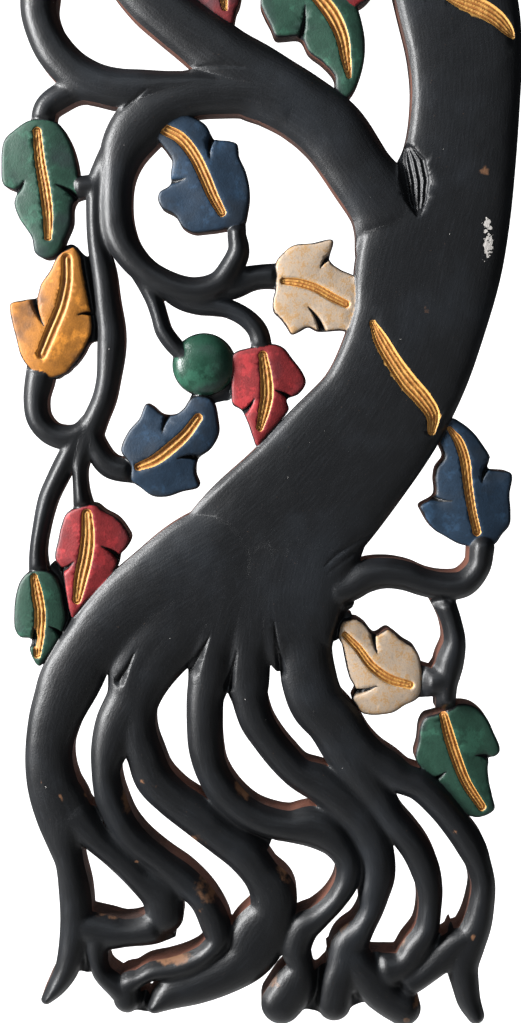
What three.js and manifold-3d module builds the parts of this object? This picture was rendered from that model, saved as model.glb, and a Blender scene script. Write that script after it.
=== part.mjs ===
// A carved openwork wall panel: a tree with leaves, one ball fruit and interlaced roots.
// Everything is cut from one board with a planed back. Lengths are in millimetres, +Z is up,
// the front faces -Y and the back lies in the plane Y = 0.
import * as THREE from "three";
import { mergeVertices } from "three/addons/utils/BufferGeometryUtils.js";
import Module from "manifold-3d";

const wasm = await Module();
wasm.setup();

// Driving dimensions
const PANEL_WIDTH = 350; // between the outermost leaves
const BOARD_THICKNESS = 25; // planed back to the crest of the trunk and of the thick limbs
const LIMB_WALL = 15; // upright side of a thick limb, below its rounded top
const STEM_THICKNESS = 20; // planed back to the crest of a thin stem
const STEM_WALL = 12; // upright side of a thin stem
const LEAF_THICKNESS = 19; // planed back to the painted face of a leaf
const LEAF_BEVEL = 1.6; // chamfer round a leaf's face
const VEIN_DEPTH = 2.2; // channel cut along the middle of a leaf
const NOTCH_DEPTH = 6; // cut between two lobes of a leaf
const WEB_THICKNESS = 12; // low ground left standing where limbs run side by side
const FRUIT_THICKNESS = 23; // planed back to the top of the ball fruit
const FRUIT_WALL = 11; // upright side of the ball fruit

// The drawing is laid out on squared paper, DRAWING_WIDTH squares wide, x to the right and
// y down. Every free form below keeps its place and proportions in those squares.
const DRAWING_WIDTH = 521;
const SQUARE = PANEL_WIDTH / DRAWING_WIDTH;
const FIXING = { x: 400, y: 330 }; // squares: the point of the trunk behind which it is fixed

// The drawing shows the carving as seen from in front, where a wall turned towards the eye
// shows down to its foot. Drawn edges are put back to where they stand on the board.
const EYE = { x: 260.5, y: 372 }; // squares: the point straight before the eye
const EYE_DISTANCE = 900; // from the eye to the leaves' faces
const SEEN_FROM = 0; // squares: above this line the crown is drawn as it stands
const GAP_PROBE = 3; // squares outside an edge at which another piece hides its foot

// How finely the free forms are cut, in squares
const STEP_BASE = 13; // shortest stretch of limb between two sections
const STEP_PER_WIDTH = 0.55; // and what each square of half-width adds to it
const NOTCH_MOUTH = 8; // width of a notch where it leaves the leaf
const NOTCH_RUNOUT = 5; // how far a notch is carried past the leaf's edge
const CLEAR = 1; // millimetres by which a cutter passes the face it cuts
const FRUIT_SIDES = 22;
const FRUIT_RINGS = 4;

// Shape of a limb's rounded top: where across it a facet edge runs, as a share of half-width
const ROUND_FACETS = [-1, -0.5, 0.5, 1];
const FLAT_FACETS = [-1, -0.82, -0.4, 0.4, 0.82, 1];
const ROUND_POWER = 2; // a round crown
const FLAT_POWER = 3; // the flatter crown of the trunk

// A limb's round end: distance past the last section and width there, as shares of half-width
const ROUND_END = [
  [0.7, 0.7],
  [0.96, 0.28],
];

// Limbs: centre line and half-width in squares. A tip is rounded, any other end is buried.
const TRUNK = {
  trunk: [
    [404, -115, 49], [440, -55, 57], [455.5, 0, 62], [463.5, 50, 58], [464.5, 100, 55],
    [458.5, 160, 57], [444, 215, 66], [429.5, 262, 72.5], [419, 318, 67], [403.5, 365, 66],
    [380, 412, 66], [342, 460, 70.5], [304, 503.5, 74], [262, 545, 76], [225, 585, 72],
  ],
  trunk_foot: [[322, 500, 56], [300, 555, 58], [290, 605, 52], [297, 640, 36], [305, 664, 27]],
};

const LIMBS = {
  crown_arm: [
    [454, 0, 58], [440, -55, 57], [404, -115, 49], [355, -163, 41], [298, -198, 33],
    [238, -222, 26], [182, -230, 20], [135, -218, 16], [108, -190, 13],
  ],
  bough: [
    [407, 250, 53], [398, 228, 45], [385.5, 206, 38.5], [362.5, 177, 34.5], [331, 132, 35.5],
    [299.5, 107, 35], [271.5, 91, 36.5], [250, 78, 37], [228, 60, 32], [205, 43, 31],
    [189, 31, 29.5], [169, 14, 29.5], [150, -4, 29.5], [128, -32, 26], [111, -64, 22],
    [101, -100, 18], [100, -140, 15], [106, -172, 13], [118, -198, 12],
  ],
  ring: [
    [272, 93, 29], [250, 94, 26], [220, 93.5, 25.5], [190, 94, 23.5], [165, 104, 24],
    [141, 124, 27], [125.2, 150, 24.3], [119, 177, 18], [117, 208, 17], [119.5, 232, 17],
    [129, 253, 15], [151.5, 275.5, 13.5], [190, 290.5, 13.5], [218, 284, 12.5], [232, 266, 11.5],
    [239, 250, 11], [237, 235, 9.5], [237, 222, 9],
  ],
  upper_left_branch: [
    [222, 84, 8], [192, 84, 12], [165, 87, 15.5], [140, 88.5, 18.5], [120, 88.5, 19.5],
    [100, 86, 21], [83, 78, 20.5], [67, 66, 20], [53.5, 49, 19], [44.5, 30, 18.5],
    [40, 10, 19], [39, -12, 18.5],
    [42, -38, 17], [52, -66, 15], [72, -92, 13], [100, -104, 13],
  ],
  right_branch: [
    [322, 590, 16], [345, 588, 15], [365, 576, 16.5], [385, 571, 17], [405, 574, 16],
    [425, 581, 15], [445, 584, 15.5], [462.5, 581, 15.5], [476, 566, 14], [481.5, 547, 12.5],
  ],
  right_twig: [
    [441, 596, 13], [446, 609, 11.5], [450, 622, 11.3], [452.5, 642, 12.7],
    [449, 664, 14], [446, 685, 11], [445, 710, 9.5],
  ],
  right_twig_fork: [[449, 668, 15], [435, 678, 16], [418, 681, 16.5]],
};

const STEMS = {
  green_left_stem: [
    [120, 95, 12], [95, 92.5, 13], [76, 93, 13.5], [61, 99, 15], [48.5, 109, 14],
    [43, 126, 12],
  ],
  green_left_bridge: [[68, 190, 12], [84, 188, 12], [100, 186, 12]],
  long_stem: [
    [132, 138, 9], [115, 154, 14], [106, 167, 12.5], [98, 184, 10.5], [95, 210, 8.5],
    [97, 240, 9.5], [104, 270, 13],
    [108, 300, 13.5], [112, 330, 14.5], [112, 350, 14.5], [109, 380, 12.5],
    [104.5, 400, 12.5], [96, 420, 13], [86, 440, 14], [82, 455, 10], [81, 470, 8.5],
    [82, 490, 8.5], [84, 512, 10],
  ],
  hook_stem: [
    [40.5, 362, 12], [40, 376, 14], [37.5, 400, 13.5], [40, 418, 13], [50.5, 431.5, 12.5],
    [66, 437, 12.5],
    [80, 432, 10], [90, 425, 12],
  ],
  green_low_stem: [
    [78, 432, 7], [74, 444, 9], [65.5, 462, 10.5], [57, 481, 11], [48.8, 500, 10.5], [42, 530, 9.3],
    [39, 555, 9.3], [39, 576, 9.5],
  ],
  blue_low_stem: [[91, 424, 8], [97, 446, 12], [110, 464.5, 13], [136, 471.5, 12]],
  fruit_stem: [
    [122, 244, 8], [135, 266.5, 8.3], [147, 286.5, 8.3], [154.5, 301.5, 8.3], [159.8, 316.5, 8.5],
    [164, 330.5, 8.8], [175, 346, 8.8], [190, 361, 7],
  ],
  red_mid_stem: [
    [152, 278, 8], [166, 289, 10], [181, 297.5, 12], [197, 303.5, 11.3], [213, 306, 10.3],
    [227.5, 308.5, 9.7], [246, 318, 9.7], [258, 331.5, 10.2], [262.5, 354, 10.8],
  ],
  white_stem: [[208, 288, 9], [230, 285, 14], [250, 279, 13], [262, 277, 12.5], [284, 276, 13]],
  green_top_stem: [[420, -70, 14], [385, -78, 12], [350, -70, 11], [322, -50, 10], [306, -28, 10]],
  maroon_top_stem: [[112, -66, 12], [145, -80, 10], [178, -78, 9], [208, -54, 9]],
  red_top_stem: [[380, -84, 10], [370, -66, 9], [360, -44, 9]],
  crown_left_stem: [[104, -150, 11], [82, -150, 10], [62, -140, 9]],
  crown_middle_stem: [[253, -226, 13], [249, -206, 10.5], [246, -184, 9.5]],
  crown_right_stem: [[360, -168, 14], [372, -196, 11], [372, -216, 10]],
};

const ROOTS = {
  root_1: [
    [264, 528, 36], [208, 563, 53.5], [160, 590, 45.5], [120, 617, 37], [86, 652, 30], 
    [70, 681, 31], [61.5, 702, 28.5], [55.5, 720, 26.7], [51, 745, 25], [52, 768, 26], [57, 790, 28],
    [64, 815, 27.5], [65.5, 843, 17.5], [72.5, 862, 16.5], [77, 893, 17.5], [76.5, 920, 16],
    [73, 948, 14.5], [65, 971, 12.5], [54, 986, 11], [45.5, 996, 7],
  ],
  root_1_branch: [
    [64, 800, 27], [85, 825, 17.5], [99, 839, 14.5], [116, 854, 13.5], [141, 877, 14.5],
    [162, 895, 20], [167, 913, 20.5],
  ],
  root_1_return: [[165, 920, 20], [150, 928, 15.5], [126, 927, 18.5], [105, 926, 22], [88, 925, 16]],
  root_1_foot: [[100, 930, 14], [99.5, 950, 13.5], [106, 969, 13.5], [121.5, 988, 12.5]],
  root_2: [
    [262, 550, 34], [208, 594, 48], [165, 625, 37], [139, 661, 29.5], [132, 698, 25.5],
    [118, 725, 23],
    [109.5, 750, 18.5], [107.5, 770, 15.7], [110, 785.5, 16.5], [114.2, 799.5, 17.8],
    [125.7, 822, 17.3], [140, 839, 17.7], [163, 857, 16.7], [186, 876, 18.3],
    [207, 899, 16.8], [216.5, 926, 15], [216, 938, 14], [205, 948, 14], [192, 956, 15.5],
    [170, 962.5, 15.5], [150, 966, 14], [136, 975, 12], [128, 985, 12.5], [128, 997, 14],
  ],
  root_3: [
    [250, 556, 28], [190, 615, 38], [161, 652, 30], [144, 681, 25], [139, 705, 20], [138.5, 718, 19.5],
    [141, 737, 20], [148, 756, 20.5], [157, 777, 22], [176, 796, 22], [197, 815, 20],
    [222, 836, 18.5], [246, 854, 19.5], [265, 875, 21], [273.5, 894, 23.5],
    [269.5, 914, 24.5], [256, 940, 29], [246, 958, 24], [222.5, 973, 21], [195.5, 984, 19],
    [170, 992, 16], [152, 1000, 12],
  ],
  root_4: [
    [256, 556, 26], [222, 612, 32], [212, 650, 24], [209, 681, 21], [205.5, 698, 18.8],
    [205.2, 725, 18.3], [207.3, 748, 18.4], [214, 770, 18], [229, 793, 19],
    [252, 811, 18.5], [275, 819.5, 19], [292, 822, 19.5], [318, 827, 21],
    [338, 843, 15.8], [348.5, 862, 13.5], [344, 880, 14.5], [331, 899, 14],
    [314, 915, 15.5], [301, 930, 16], [296, 950, 15], [299, 966, 13.5],
    [291, 985, 24], [279, 1000, 23.5],
  ],
  root_5: [
    [268, 556, 26], [254, 612, 32], [249, 652, 23], [247.5, 681, 22], [250.5, 697, 19],
    [258, 720, 18.3],
    [270, 738, 17.7], [285.3, 756.5, 18], [301.2, 771.2, 18.4], [324, 785, 19.5],
    [344, 801, 20], [361, 818, 19], [372, 838, 18.5], [377.5, 858, 17.5],
    [377.5, 877, 17], [373.5, 893, 15.5], [368, 908.5, 14.8], [358.5, 926.5, 15.5],
    [348.5, 945.5, 18], [341, 965, 19], [337, 985, 18], [334, 1002, 17],
  ],
  root_6: [
    [288, 558, 32], [296, 615, 40], [305, 650, 27.5], [309.5, 680, 28], [318, 703, 28],
    [332.5, 722, 26],
    [350, 750, 26], [366, 778, 21], [379, 798, 17.5], [392, 816, 16], [407, 834.5, 16.2],
    [418, 851.5, 15.7], [425, 869.5, 14.9], [428.5, 890, 13.8], [427, 910, 13.5],
    [422, 930, 15.5], [411, 946, 18], [399, 960, 17.5], [384, 970, 18.5], [370, 973, 22],
  ],
  root_7: [
    [308.5, 680, 27], [315.5, 700, 26], [338, 725, 25], [356, 743, 22.5], [371, 757, 22],
    [389, 767, 20.5], [404, 776, 18], [420, 785, 15.5], [443, 807, 15],
    [459.5, 828, 15], [471.5, 847, 14.8], [478, 865, 13.2], [481, 885, 13.7],
    [478, 905, 15.5], [473, 925, 17.5], [467.5, 945, 16.7], [462, 966, 16],
    [465, 985, 14], [469.5, 1001, 12], [476, 1013, 9.5],
  ],
  root_8: [
    [468, 928, 12], [456, 941, 13], [441, 955, 15.5], [427, 968, 13.5],
    [411, 979, 13.5], [397, 987, 13],
  ],
  root_9: [[345, 940, 20], [360, 963, 20], [375, 984, 20], [390, 999, 17.5], [403, 1006.5, 17.5]],
};

const ROUND_TIPS = [
  "root_1", "root_1_foot", "root_1_branch", "root_1_return", "root_2", "root_3", "root_4",
  "root_5", "root_7", "root_9", "crown_arm", "right_branch",
];

// Low ground between limbs and under leaves, outlined in squares
const WEBS = {
  gold_ground: [
    [66, 246], [72, 244], [80, 251], [86, 256], [98, 256], [100, 338], [91, 345], [85, 356],
    [76, 367], [66, 374], [54, 379], [50, 370], [60, 300],
  ],
  fruit_ground: [[194, 392], [233, 372], [230, 400], [224, 401], [205, 404], [190, 400]],
  red_low_ground: [[50, 565], [58, 564], [66, 590], [72, 626], [64, 632], [60, 590], [50, 572]],
  right_crotch: [
    [325, 590], [352, 598], [354, 602], [352, 608], [347, 613], [352, 616], [343, 624],
    [336, 640], [325, 640],
  ],
  left_root_crotch: [[75, 940], [100, 940], [94, 968], [86, 972], [79, 968]],
  middle_root_crotch: [
    [300, 955], [318, 960], [326, 959], [345, 955], [340, 1000], [320, 1010], [300, 1006],
    [285, 1000],
  ],
  left_root_ground: [[90, 806], [95, 802], [100, 801], [104, 812], [100, 822], [92, 816]],
  middle_root_ground: [[240, 822], [264, 826], [272, 838], [266, 848], [246, 842]],
  left_foot_crotch: [[134, 993], [150, 991], [154, 1007], [146, 1011], [134, 1008]],
  foot_crotch: [[340, 955], [366, 985], [362, 1002], [348, 1006], [335, 990]],
  right_root_crotch: [[425, 925], [437, 926], [443, 927], [452, 925], [450, 950], [425, 955]],
};

// Leaves: outline, vein as centre line and half-width, and notches from the edge inwards
const LEAVES = {
  green_left: {
    outline: [
      [31, 120], [56, 122], [68, 136], [76, 153], [81, 172], [79, 192], [76, 206],
      [75, 224], [69, 240], [58, 254], [45, 260.5], [35, 252.5], [31.5, 237], [18.5, 217],
      [14, 203], [15, 191], [3, 184], [1, 165], [4, 140], [14, 130],
    ],
    vein: [[37, 131, 5], [40, 160, 6], [45, 190, 6.5], [48, 215, 6], [48, 237, 4.5]],
    notches: [[[14, 188], [25, 179]], [[72, 197], [54, 184]]],
  },
  gold: {
    outline: [
      [58, 256], [66, 250], [74, 247], [82, 253], [84, 275], [89, 300], [92, 318],
      [92, 332], [84, 350], [76, 366], [66, 375], [50, 378], [34, 372], [22, 358],
      [16, 338], [10, 312], [10, 304], [24, 300], [36, 297], [41, 284], [50, 271],
    ],
    vein: [[67, 258, 6], [67, 280, 6.5], [62, 305, 7], [52, 330, 7], [42, 354, 6.5]],
    notches: [[[36, 298], [45, 327]], [[92, 317], [77, 315]]],
  },
  blue_ring: {
    outline: [
      [154, 134], [157, 124], [166, 116], [177, 112], [190, 116], [205, 124.5], [214.5, 139],
      [228, 141], [237, 144], [239, 156], [246, 172], [250, 192], [249, 210], [244, 224],
      [222, 233], [206, 235], [193, 235], [182, 228], [174, 216], [161, 208], [158, 199],
      [160, 192], [170, 185], [171, 172], [172, 161], [164, 149],
    ],
    vein: [
      [165, 130, 6.5], [180, 138, 7], [194, 155, 7], [204, 175, 7], [213, 196, 6.5],
      [222, 213, 5],
    ],
    notches: [[[170, 178], [187, 178]], [[214, 141], [210, 160]]],
  },
  white: {
    outline: [
      [276, 262], [284, 252], [294, 245], [312, 243], [333, 240], [330, 260], [340, 269],
      [357, 278], [359, 292], [357, 314], [352, 331], [342, 331], [318, 332], [309, 328],
      [300, 332], [292, 335], [286, 327], [280, 319], [273, 311], [273, 298], [275, 290],
    ],
    vein: [[284, 281, 4.5], [300, 283, 5.5], [316, 288, 5.5], [332, 297, 5.5], [346, 304, 5]],
    notches: [[[331, 260], [320, 269]], [[319, 328], [307, 306]]],
  },
  red_mid: {
    outline: [
      [233, 354], [253, 347], [274, 344], [284, 348], [292, 358], [303, 373], [306, 383],
      [299, 394], [287, 400], [289, 409], [280, 422], [266, 438], [257, 447], [253, 438],
      [247, 421], [241, 410], [233, 405], [231, 392], [232, 370],
    ],
    vein: [[263, 355, 5], [266, 375, 7], [267, 395, 7.5], [264, 412, 6.5], [260, 428, 4]],
    notches: [[[241, 411], [255, 397]], [[288, 401], [274, 390]]],
  },
  blue_low: {
    outline: [
      [131, 466], [121, 451], [128, 432], [139, 419], [146, 404], [153, 405], [163, 413],
      [175, 414], [184, 408], [191, 398], [203, 396], [213, 401], [219, 420], [219, 435],
      [211, 449], [198, 460], [197, 474], [199, 487], [182, 492], [166, 497], [152, 496],
      [141, 488], [131, 480],
    ],
    vein: [[138, 467, 4.5], [155, 460, 6.5], [172, 447, 7], [186, 434, 6.5], [198, 418, 5.5]],
    notches: [[[172, 414], [162, 434]], [[197, 461], [176, 459]]],
  },
  red_low: {
    outline: [
      [73, 508], [94, 502], [106, 508], [120, 516], [130, 529], [132, 539], [126, 549],
      [120, 556], [117, 566], [109, 580], [97, 592], [85, 604], [72, 618], [67, 600],
      [64, 580], [62, 570], [55, 559], [58, 540], [61, 526], [66, 514],
    ],
    vein: [[87, 514, 6], [88, 535, 8], [86, 555, 8.5], [81, 578, 8], [77, 600, 5]],
    notches: [[[60, 568], [74, 561]], [[116, 560], [100, 546]]],
  },
  green_low: {
    outline: [
      [29, 570], [44, 570], [53, 574], [60, 585], [64, 602], [66, 618], [63, 631],
      [55, 646], [47, 658], [39, 666], [30, 650], [31, 639], [20, 637], [15, 630],
      [14, 612], [16, 594], [21, 580],
    ],
    vein: [[34, 577, 4], [37, 593, 6.5], [40, 612, 6.5], [39, 635, 6.5], [37, 655, 4.5]],
    notches: [[[31, 638], [32, 626]], [[58, 638], [48, 626]]],
  },
  blue_right: {
    outline: [
      [452, 418], [462, 423], [474, 433], [483, 445], [490.5, 458], [490, 469], [512, 474],
      [510, 495], [511, 512], [510, 525], [502, 535], [495, 544], [470, 546], [459, 544],
      [446, 537], [433, 529], [422.5, 514.5], [417, 505], [432, 494], [432, 478], [434, 466],
      [441, 456], [440, 443], [444, 434],
    ],
    vein: [
      [450, 429, 3], [459, 442, 5.5], [465, 460, 6], [468, 485, 5.5], [472, 510, 5],
      [477, 532, 5],
    ],
    notches: [[[490, 470], [482, 484]], [[433, 495], [453, 501]]],
  },
  white_low: {
    outline: [
      [342, 622], [349, 615], [358, 616], [367, 623], [376, 631], [388, 625], [396, 632],
      [407, 641], [415, 648], [421, 662], [419, 697], [404, 706], [393, 713], [364, 714],
      [357, 706], [352, 700], [354.5, 691], [349.5, 678], [345, 660], [342.5, 646], [338, 637],
    ],
    vein: [[345, 635, 4], [358, 648, 5], [372, 666, 5.5], [390, 679, 6], [410, 685, 5]],
    notches: [[[377, 631], [378, 655]], [[355, 690], [378, 685]]],
  },
  green_right: {
    outline: [
      [434, 708], [421, 713], [417, 725], [415.5, 744], [416, 760], [430, 779], [442, 792],
      [456, 806], [470, 816], [480, 817], [494, 810], [492.5, 797], [489, 780], [489, 763],
      [500, 752.5], [494, 733], [486, 717], [475, 704], [457, 698], [453, 708],
    ],
    vein: [[444, 716, 5], [449, 735, 6.5], [456, 757, 6.5], [466, 782, 6], [482, 807, 5]],
    notches: [[[488, 762], [475, 756]], [[429, 780], [447, 771]]],
  },
  green_top: {
    outline: [
      [260.5, 0], [262, 12], [268, 25], [272.5, 38.5], [283, 42.5], [297.5, 41.5], [305.5, 54],
      [320, 66], [331, 78], [336, 90], [347, 98], [357, 87], [364, 62], [365, 40],
      [361.5, 20], [355, 0], [345, -22], [325, -38], [300, -42], [280, -34], [266, -18],
    ],
    vein: [
      [300, -24, 4], [316, -6, 8], [332, 14, 9], [342, 36, 8], [346, 58, 6], [349, 76, 3],
    ],
    notches: [[[297, 40], [305, 4]]],
  },
  maroon_top: {
    outline: [
      [241, 0], [239, 10], [232, 25], [218, 18], [204, 7], [195, 0], [186, -30],
      [196, -50], [212, -62], [232, -50], [242, -28],
    ],
    vein: [[212, -50, 4], [218, -30, 6], [223, -8, 5.5], [225, 8, 3.5]],
    notches: [[[187, -26], [202, -22]]],
  },
  red_top: {
    outline: [
      [340, 0], [355, 8], [362, 9], [369, 0], [380, -20], [378, -45], [360, -60],
      [342, -50], [334, -25],
    ],
    vein: [[360, -48, 3.5], [358, -30, 5], [358, -12, 4]],
    notches: [],
  },
};

// Leaves of the crown that repeat a lower leaf's outline: moved, turned clockwise and scaled
const REPEATED_LEAVES = {
  crown_left: { like: "red_mid", from: [264, 347], to: [66, -148], turn: 118, scale: 0.55 },
  crown_middle: { like: "red_low", from: [86, 506], to: [246, -196], turn: 0, scale: 0.85 },
  crown_right: { like: "gold", from: [42, 374], to: [372, -208], turn: 28, scale: 0.6 },
};

// Painted marks gouged into the trunk, as centre line and half-width
const TRUNK_MARKS = [
  [
    [372, 323, 3], [380, 340, 7], [393, 362, 8], [407, 382, 9], [422, 399, 8.5],
    [432, 415, 7], [431, 431, 4],
  ],
  [[440, -4, 3], [462, 4, 8], [480, 11, 9], [495, 20, 8], [506, 31, 6], [512, 39, 2]],
];

const FRUIT = { x: 203.7, y: 364.7, radius: 32 };

// Board space has x to the right, y up and z out of the wall
const boardX = (x) => (x - FIXING.x) * SQUARE;
const boardY = (y) => (FIXING.y - y) * SQUARE;

function toSolid(geometry) {
  const bare = geometry.clone();
  bare.deleteAttribute("normal");
  bare.deleteAttribute("uv");
  const merged = mergeVertices(bare);
  return new wasm.Manifold(
    new wasm.Mesh({
      numProp: 3,
      vertProperties: new Float32Array(merged.attributes.position.array),
      triVerts: new Uint32Array(merged.index.array),
    }),
  );
}

// A line of sections [x, y, halfWidth] in millimetres, evenly spaced along a drawn route
function sectionsAlong(route) {
  const curve = new THREE.CatmullRomCurve3(
    route.map(([x, y, half]) => new THREE.Vector3(boardX(x), boardY(y), half * SQUARE)),
    false,
    "centripetal",
  );
  const meanHalf = route.reduce((sum, point) => sum + point[2], 0) / route.length;
  const step = (STEP_BASE + STEP_PER_WIDTH * meanHalf) * SQUARE;
  const count = Math.max(2, Math.round(curve.getLength() / step));
  return curve.getSpacedPoints(count).map((point) => [point.x, point.y, point.z]);
}

const within = (outline, x, y) =>
  outline.reduce((inside, [ax, ay], index) => {
    const [bx, by] = outline[(index + 1) % outline.length];
    const crosses = ay > y !== by > y && x < ax + ((y - ay) * (bx - ax)) / (by - ay);
    return crosses ? !inside : inside;
  }, false);

const onRoute = (route, x, y) =>
  route.slice(1).some(([bx, by, bHalf], index) => {
    const [ax, ay, aHalf] = route[index];
    const along = (x - ax) * (bx - ax) + (y - ay) * (by - ay);
    const place = THREE.MathUtils.clamp(along / ((bx - ax) ** 2 + (by - ay) ** 2), 0, 1);
    const off = Math.hypot(x - ax - place * (bx - ax), y - ay - place * (by - ay));
    return off < aHalf + place * (bHalf - aHalf);
  });

// Whether a piece other than the named one lies at a point of the drawing
function coveredByAnother(own, x, y) {
  const routes = Object.entries({ ...TRUNK, ...LIMBS, ...STEMS, ...ROOTS });
  const leaves = Object.entries(LEAVES).map(([name, leaf]) => [name, leaf.outline]);
  const outlines = [...Object.entries(WEBS), ...leaves];
  return (
    routes.some(([name, route]) => name !== own && onRoute(route, x, y)) ||
    outlines.some(([name, outline]) => name !== own && within(outline, x, y))
  );
}

// Squares by which an edge stands further out along its normal than it is drawn
function edgeShift(own, [x, y], normal, wall) {
  if (y < SEEN_FROM) return 0;
  const outwards = (x - EYE.x) * normal.x + (y - EYE.y) * normal.y;
  const hidden = coveredByAnother(own, x + normal.x * GAP_PROBE, y + normal.y * GAP_PROBE);
  const seenHeight = outwards < 0 && !hidden ? 0 : wall;
  return (outwards * (LEAF_THICKNESS - seenHeight)) / EYE_DISTANCE;
}

// A limb's drawn route put back: both edges by themselves, and a round tip along its heading
function standingRoute(name, route, wall) {
  return route.map(([x, y, half], index) => {
    const heading = direction(route, index);
    const left = new THREE.Vector2(heading.y, -heading.x);
    const right = left.clone().negate();
    const leftEdge = [x + left.x * half, y + left.y * half];
    const rightEdge = [x + right.x * half, y + right.y * half];
    const leftShift = edgeShift(name, leftEdge, left, wall);
    const rightShift = edgeShift(name, rightEdge, right, wall);
    const across = (leftShift - rightShift) / 2;
    const isTip = index === route.length - 1 && ROUND_TIPS.includes(name);
    const onwards = isTip ? edgeShift(name, [x, y], heading, wall) : 0;
    return [
      x + left.x * across + heading.x * onwards,
      y + left.y * across + heading.y * onwards,
      half + (leftShift + rightShift) / 2,
    ];
  });
}

// A drawn outline put back, each point along its own outward normal
function standingOutline(name, outline, wall) {
  const points = outline.map(([x, y]) => new THREE.Vector2(x, y));
  const outward = THREE.ShapeUtils.area(points) > 0 ? 1 : -1;
  return outline.map(([x, y], index) => {
    const before = outline[(index + outline.length - 1) % outline.length];
    const after = outline[(index + 1) % outline.length];
    const normal = new THREE.Vector2(after[1] - before[1], before[0] - after[0]);
    normal.normalize().multiplyScalar(outward);
    const shift = edgeShift(name, [x, y], normal, wall);
    return [x + normal.x * shift, y + normal.y * shift];
  });
}

function direction(sections, index) {
  const before = sections[Math.max(index - 1, 0)];
  const after = sections[Math.min(index + 1, sections.length - 1)];
  return new THREE.Vector2(after[0] - before[0], after[1] - before[1]).normalize();
}

function addRoundEnd(sections) {
  const last = sections.length - 1;
  const heading = direction([sections[last - 1], sections[last]], 1);
  const [x, y, half] = sections[last];
  const caps = ROUND_END.map(([along, width]) => [
    x + heading.x * half * along,
    y + heading.y * half * along,
    half * width,
  ]);
  return [...sections, ...caps];
}

// A closed body whose profile, given as [across, height] pairs over the top from left to
// right, is carried along the sections
function loft(sections, profileOf) {
  const positions = [];
  const profiles = sections.map((section) => profileOf(section[2]));
  sections.forEach(([x, y], index) => {
    const heading = direction(sections, index);
    for (const [across, height] of profiles[index]) {
      positions.push(x + heading.y * across, y - heading.x * across, height);
    }
  });
  const sides = profiles[0].length;
  const triangles = [];
  for (let i = 0; i < sections.length - 1; i += 1) {
    for (let j = 0; j < sides; j += 1) {
      const next = (j + 1) % sides;
      const a = i * sides + j;
      const b = i * sides + next;
      triangles.push(a, b, a + sides, a + sides, b, b + sides);
    }
  }
  const end = (sections.length - 1) * sides;
  for (let j = 1; j < sides - 1; j += 1) {
    triangles.push(0, j + 1, j, end, end + j, end + j + 1);
  }
  const geometry = new THREE.BufferGeometry();
  geometry.setAttribute("position", new THREE.Float32BufferAttribute(positions, 3));
  geometry.setIndex(triangles);
  return toSolid(geometry);
}

// Upright walls with a crown over them; a narrow tip is lower in proportion
function limbProfile(facets, power, wall, crest, fullHalf) {
  return (half) => {
    const rise = (crest - wall) * Math.min(1, half / fullHalf);
    const crown = facets.map((share) => [
      share * half,
      wall + rise * (1 - Math.abs(share) ** power) ** (1 / power),
    ]);
    return [[-half, 0], ...crown, [half, 0]];
  };
}

function limb(name, route, facets, power, wall, crest) {
  const standing = standingRoute(name, route, wall);
  const fullHalf = Math.min(...standing.map((point) => point[2])) * SQUARE;
  const even = sectionsAlong(standing);
  const sections = ROUND_TIPS.includes(name) ? addRoundEnd(even) : even;
  return loft(sections, limbProfile(facets, power, wall, crest, fullHalf));
}

// A V channel along a route, its floor at floorHeight and open above
function channel(route, floorHeight) {
  const rim = BOARD_THICKNESS + CLEAR;
  const spread = (rim - floorHeight) / (LEAF_THICKNESS - floorHeight);
  return loft(sectionsAlong(route), (half) => [
    [-half * spread, rim],
    [half * spread, rim],
    [0, floorHeight],
  ]);
}

function markChannel(route) {
  const floorHeight = BOARD_THICKNESS - VEIN_DEPTH;
  return loft(sectionsAlong(route), (half) => [
    [-half, BOARD_THICKNESS + CLEAR],
    [half, BOARD_THICKNESS + CLEAR],
    [0, floorHeight],
  ]);
}

// A flat-backed plate of the given outline; the part behind the wall plane is cut off later
function plate(outline, thickness, bevel) {
  const shape = new THREE.Shape(outline.map(([x, y]) => new THREE.Vector2(boardX(x), boardY(y))));
  const geometry = new THREE.ExtrudeGeometry(shape, {
    depth: thickness,
    bevelEnabled: bevel > 0,
    bevelThickness: bevel,
    bevelSize: bevel,
    bevelOffset: -bevel,
    bevelSegments: 1,
  });
  geometry.translate(0, 0, -bevel);
  return toSolid(geometry);
}

function notch([[edgeX, edgeY], [tipX, tipY]]) {
  const inward = new THREE.Vector2(tipX - edgeX, tipY - edgeY).normalize();
  const mouthX = edgeX - inward.x * NOTCH_RUNOUT;
  const mouthY = edgeY - inward.y * NOTCH_RUNOUT;
  const halfMouth = NOTCH_MOUTH / 2;
  const outline = [
    [mouthX - inward.y * halfMouth, mouthY + inward.x * halfMouth],
    [tipX, tipY],
    [mouthX + inward.y * halfMouth, mouthY - inward.x * halfMouth],
  ];
  const shape = new THREE.Shape(outline.map(([x, y]) => new THREE.Vector2(boardX(x), boardY(y))));
  const floorHeight = LEAF_THICKNESS - NOTCH_DEPTH;
  const geometry = new THREE.ExtrudeGeometry(shape, {
    depth: BOARD_THICKNESS + CLEAR - floorHeight,
    bevelEnabled: false,
  });
  geometry.translate(0, 0, floorHeight);
  return toSolid(geometry);
}

// The same leaf drawn again elsewhere
function repeatLeaf({ like, from, to, turn, scale }) {
  const angle = THREE.MathUtils.degToRad(turn);
  const place = ([x, y, half]) => {
    const dx = (x - from[0]) * scale;
    const dy = (y - from[1]) * scale;
    const moved = [
      to[0] + dx * Math.cos(angle) - dy * Math.sin(angle),
      to[1] + dx * Math.sin(angle) + dy * Math.cos(angle),
    ];
    return half === undefined ? moved : [...moved, half * scale];
  };
  const leaf = LEAVES[like];
  return {
    outline: leaf.outline.map(place),
    vein: leaf.vein.map(place),
    notches: leaf.notches.map((ends) => ends.map(place)),
  };
}

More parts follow.
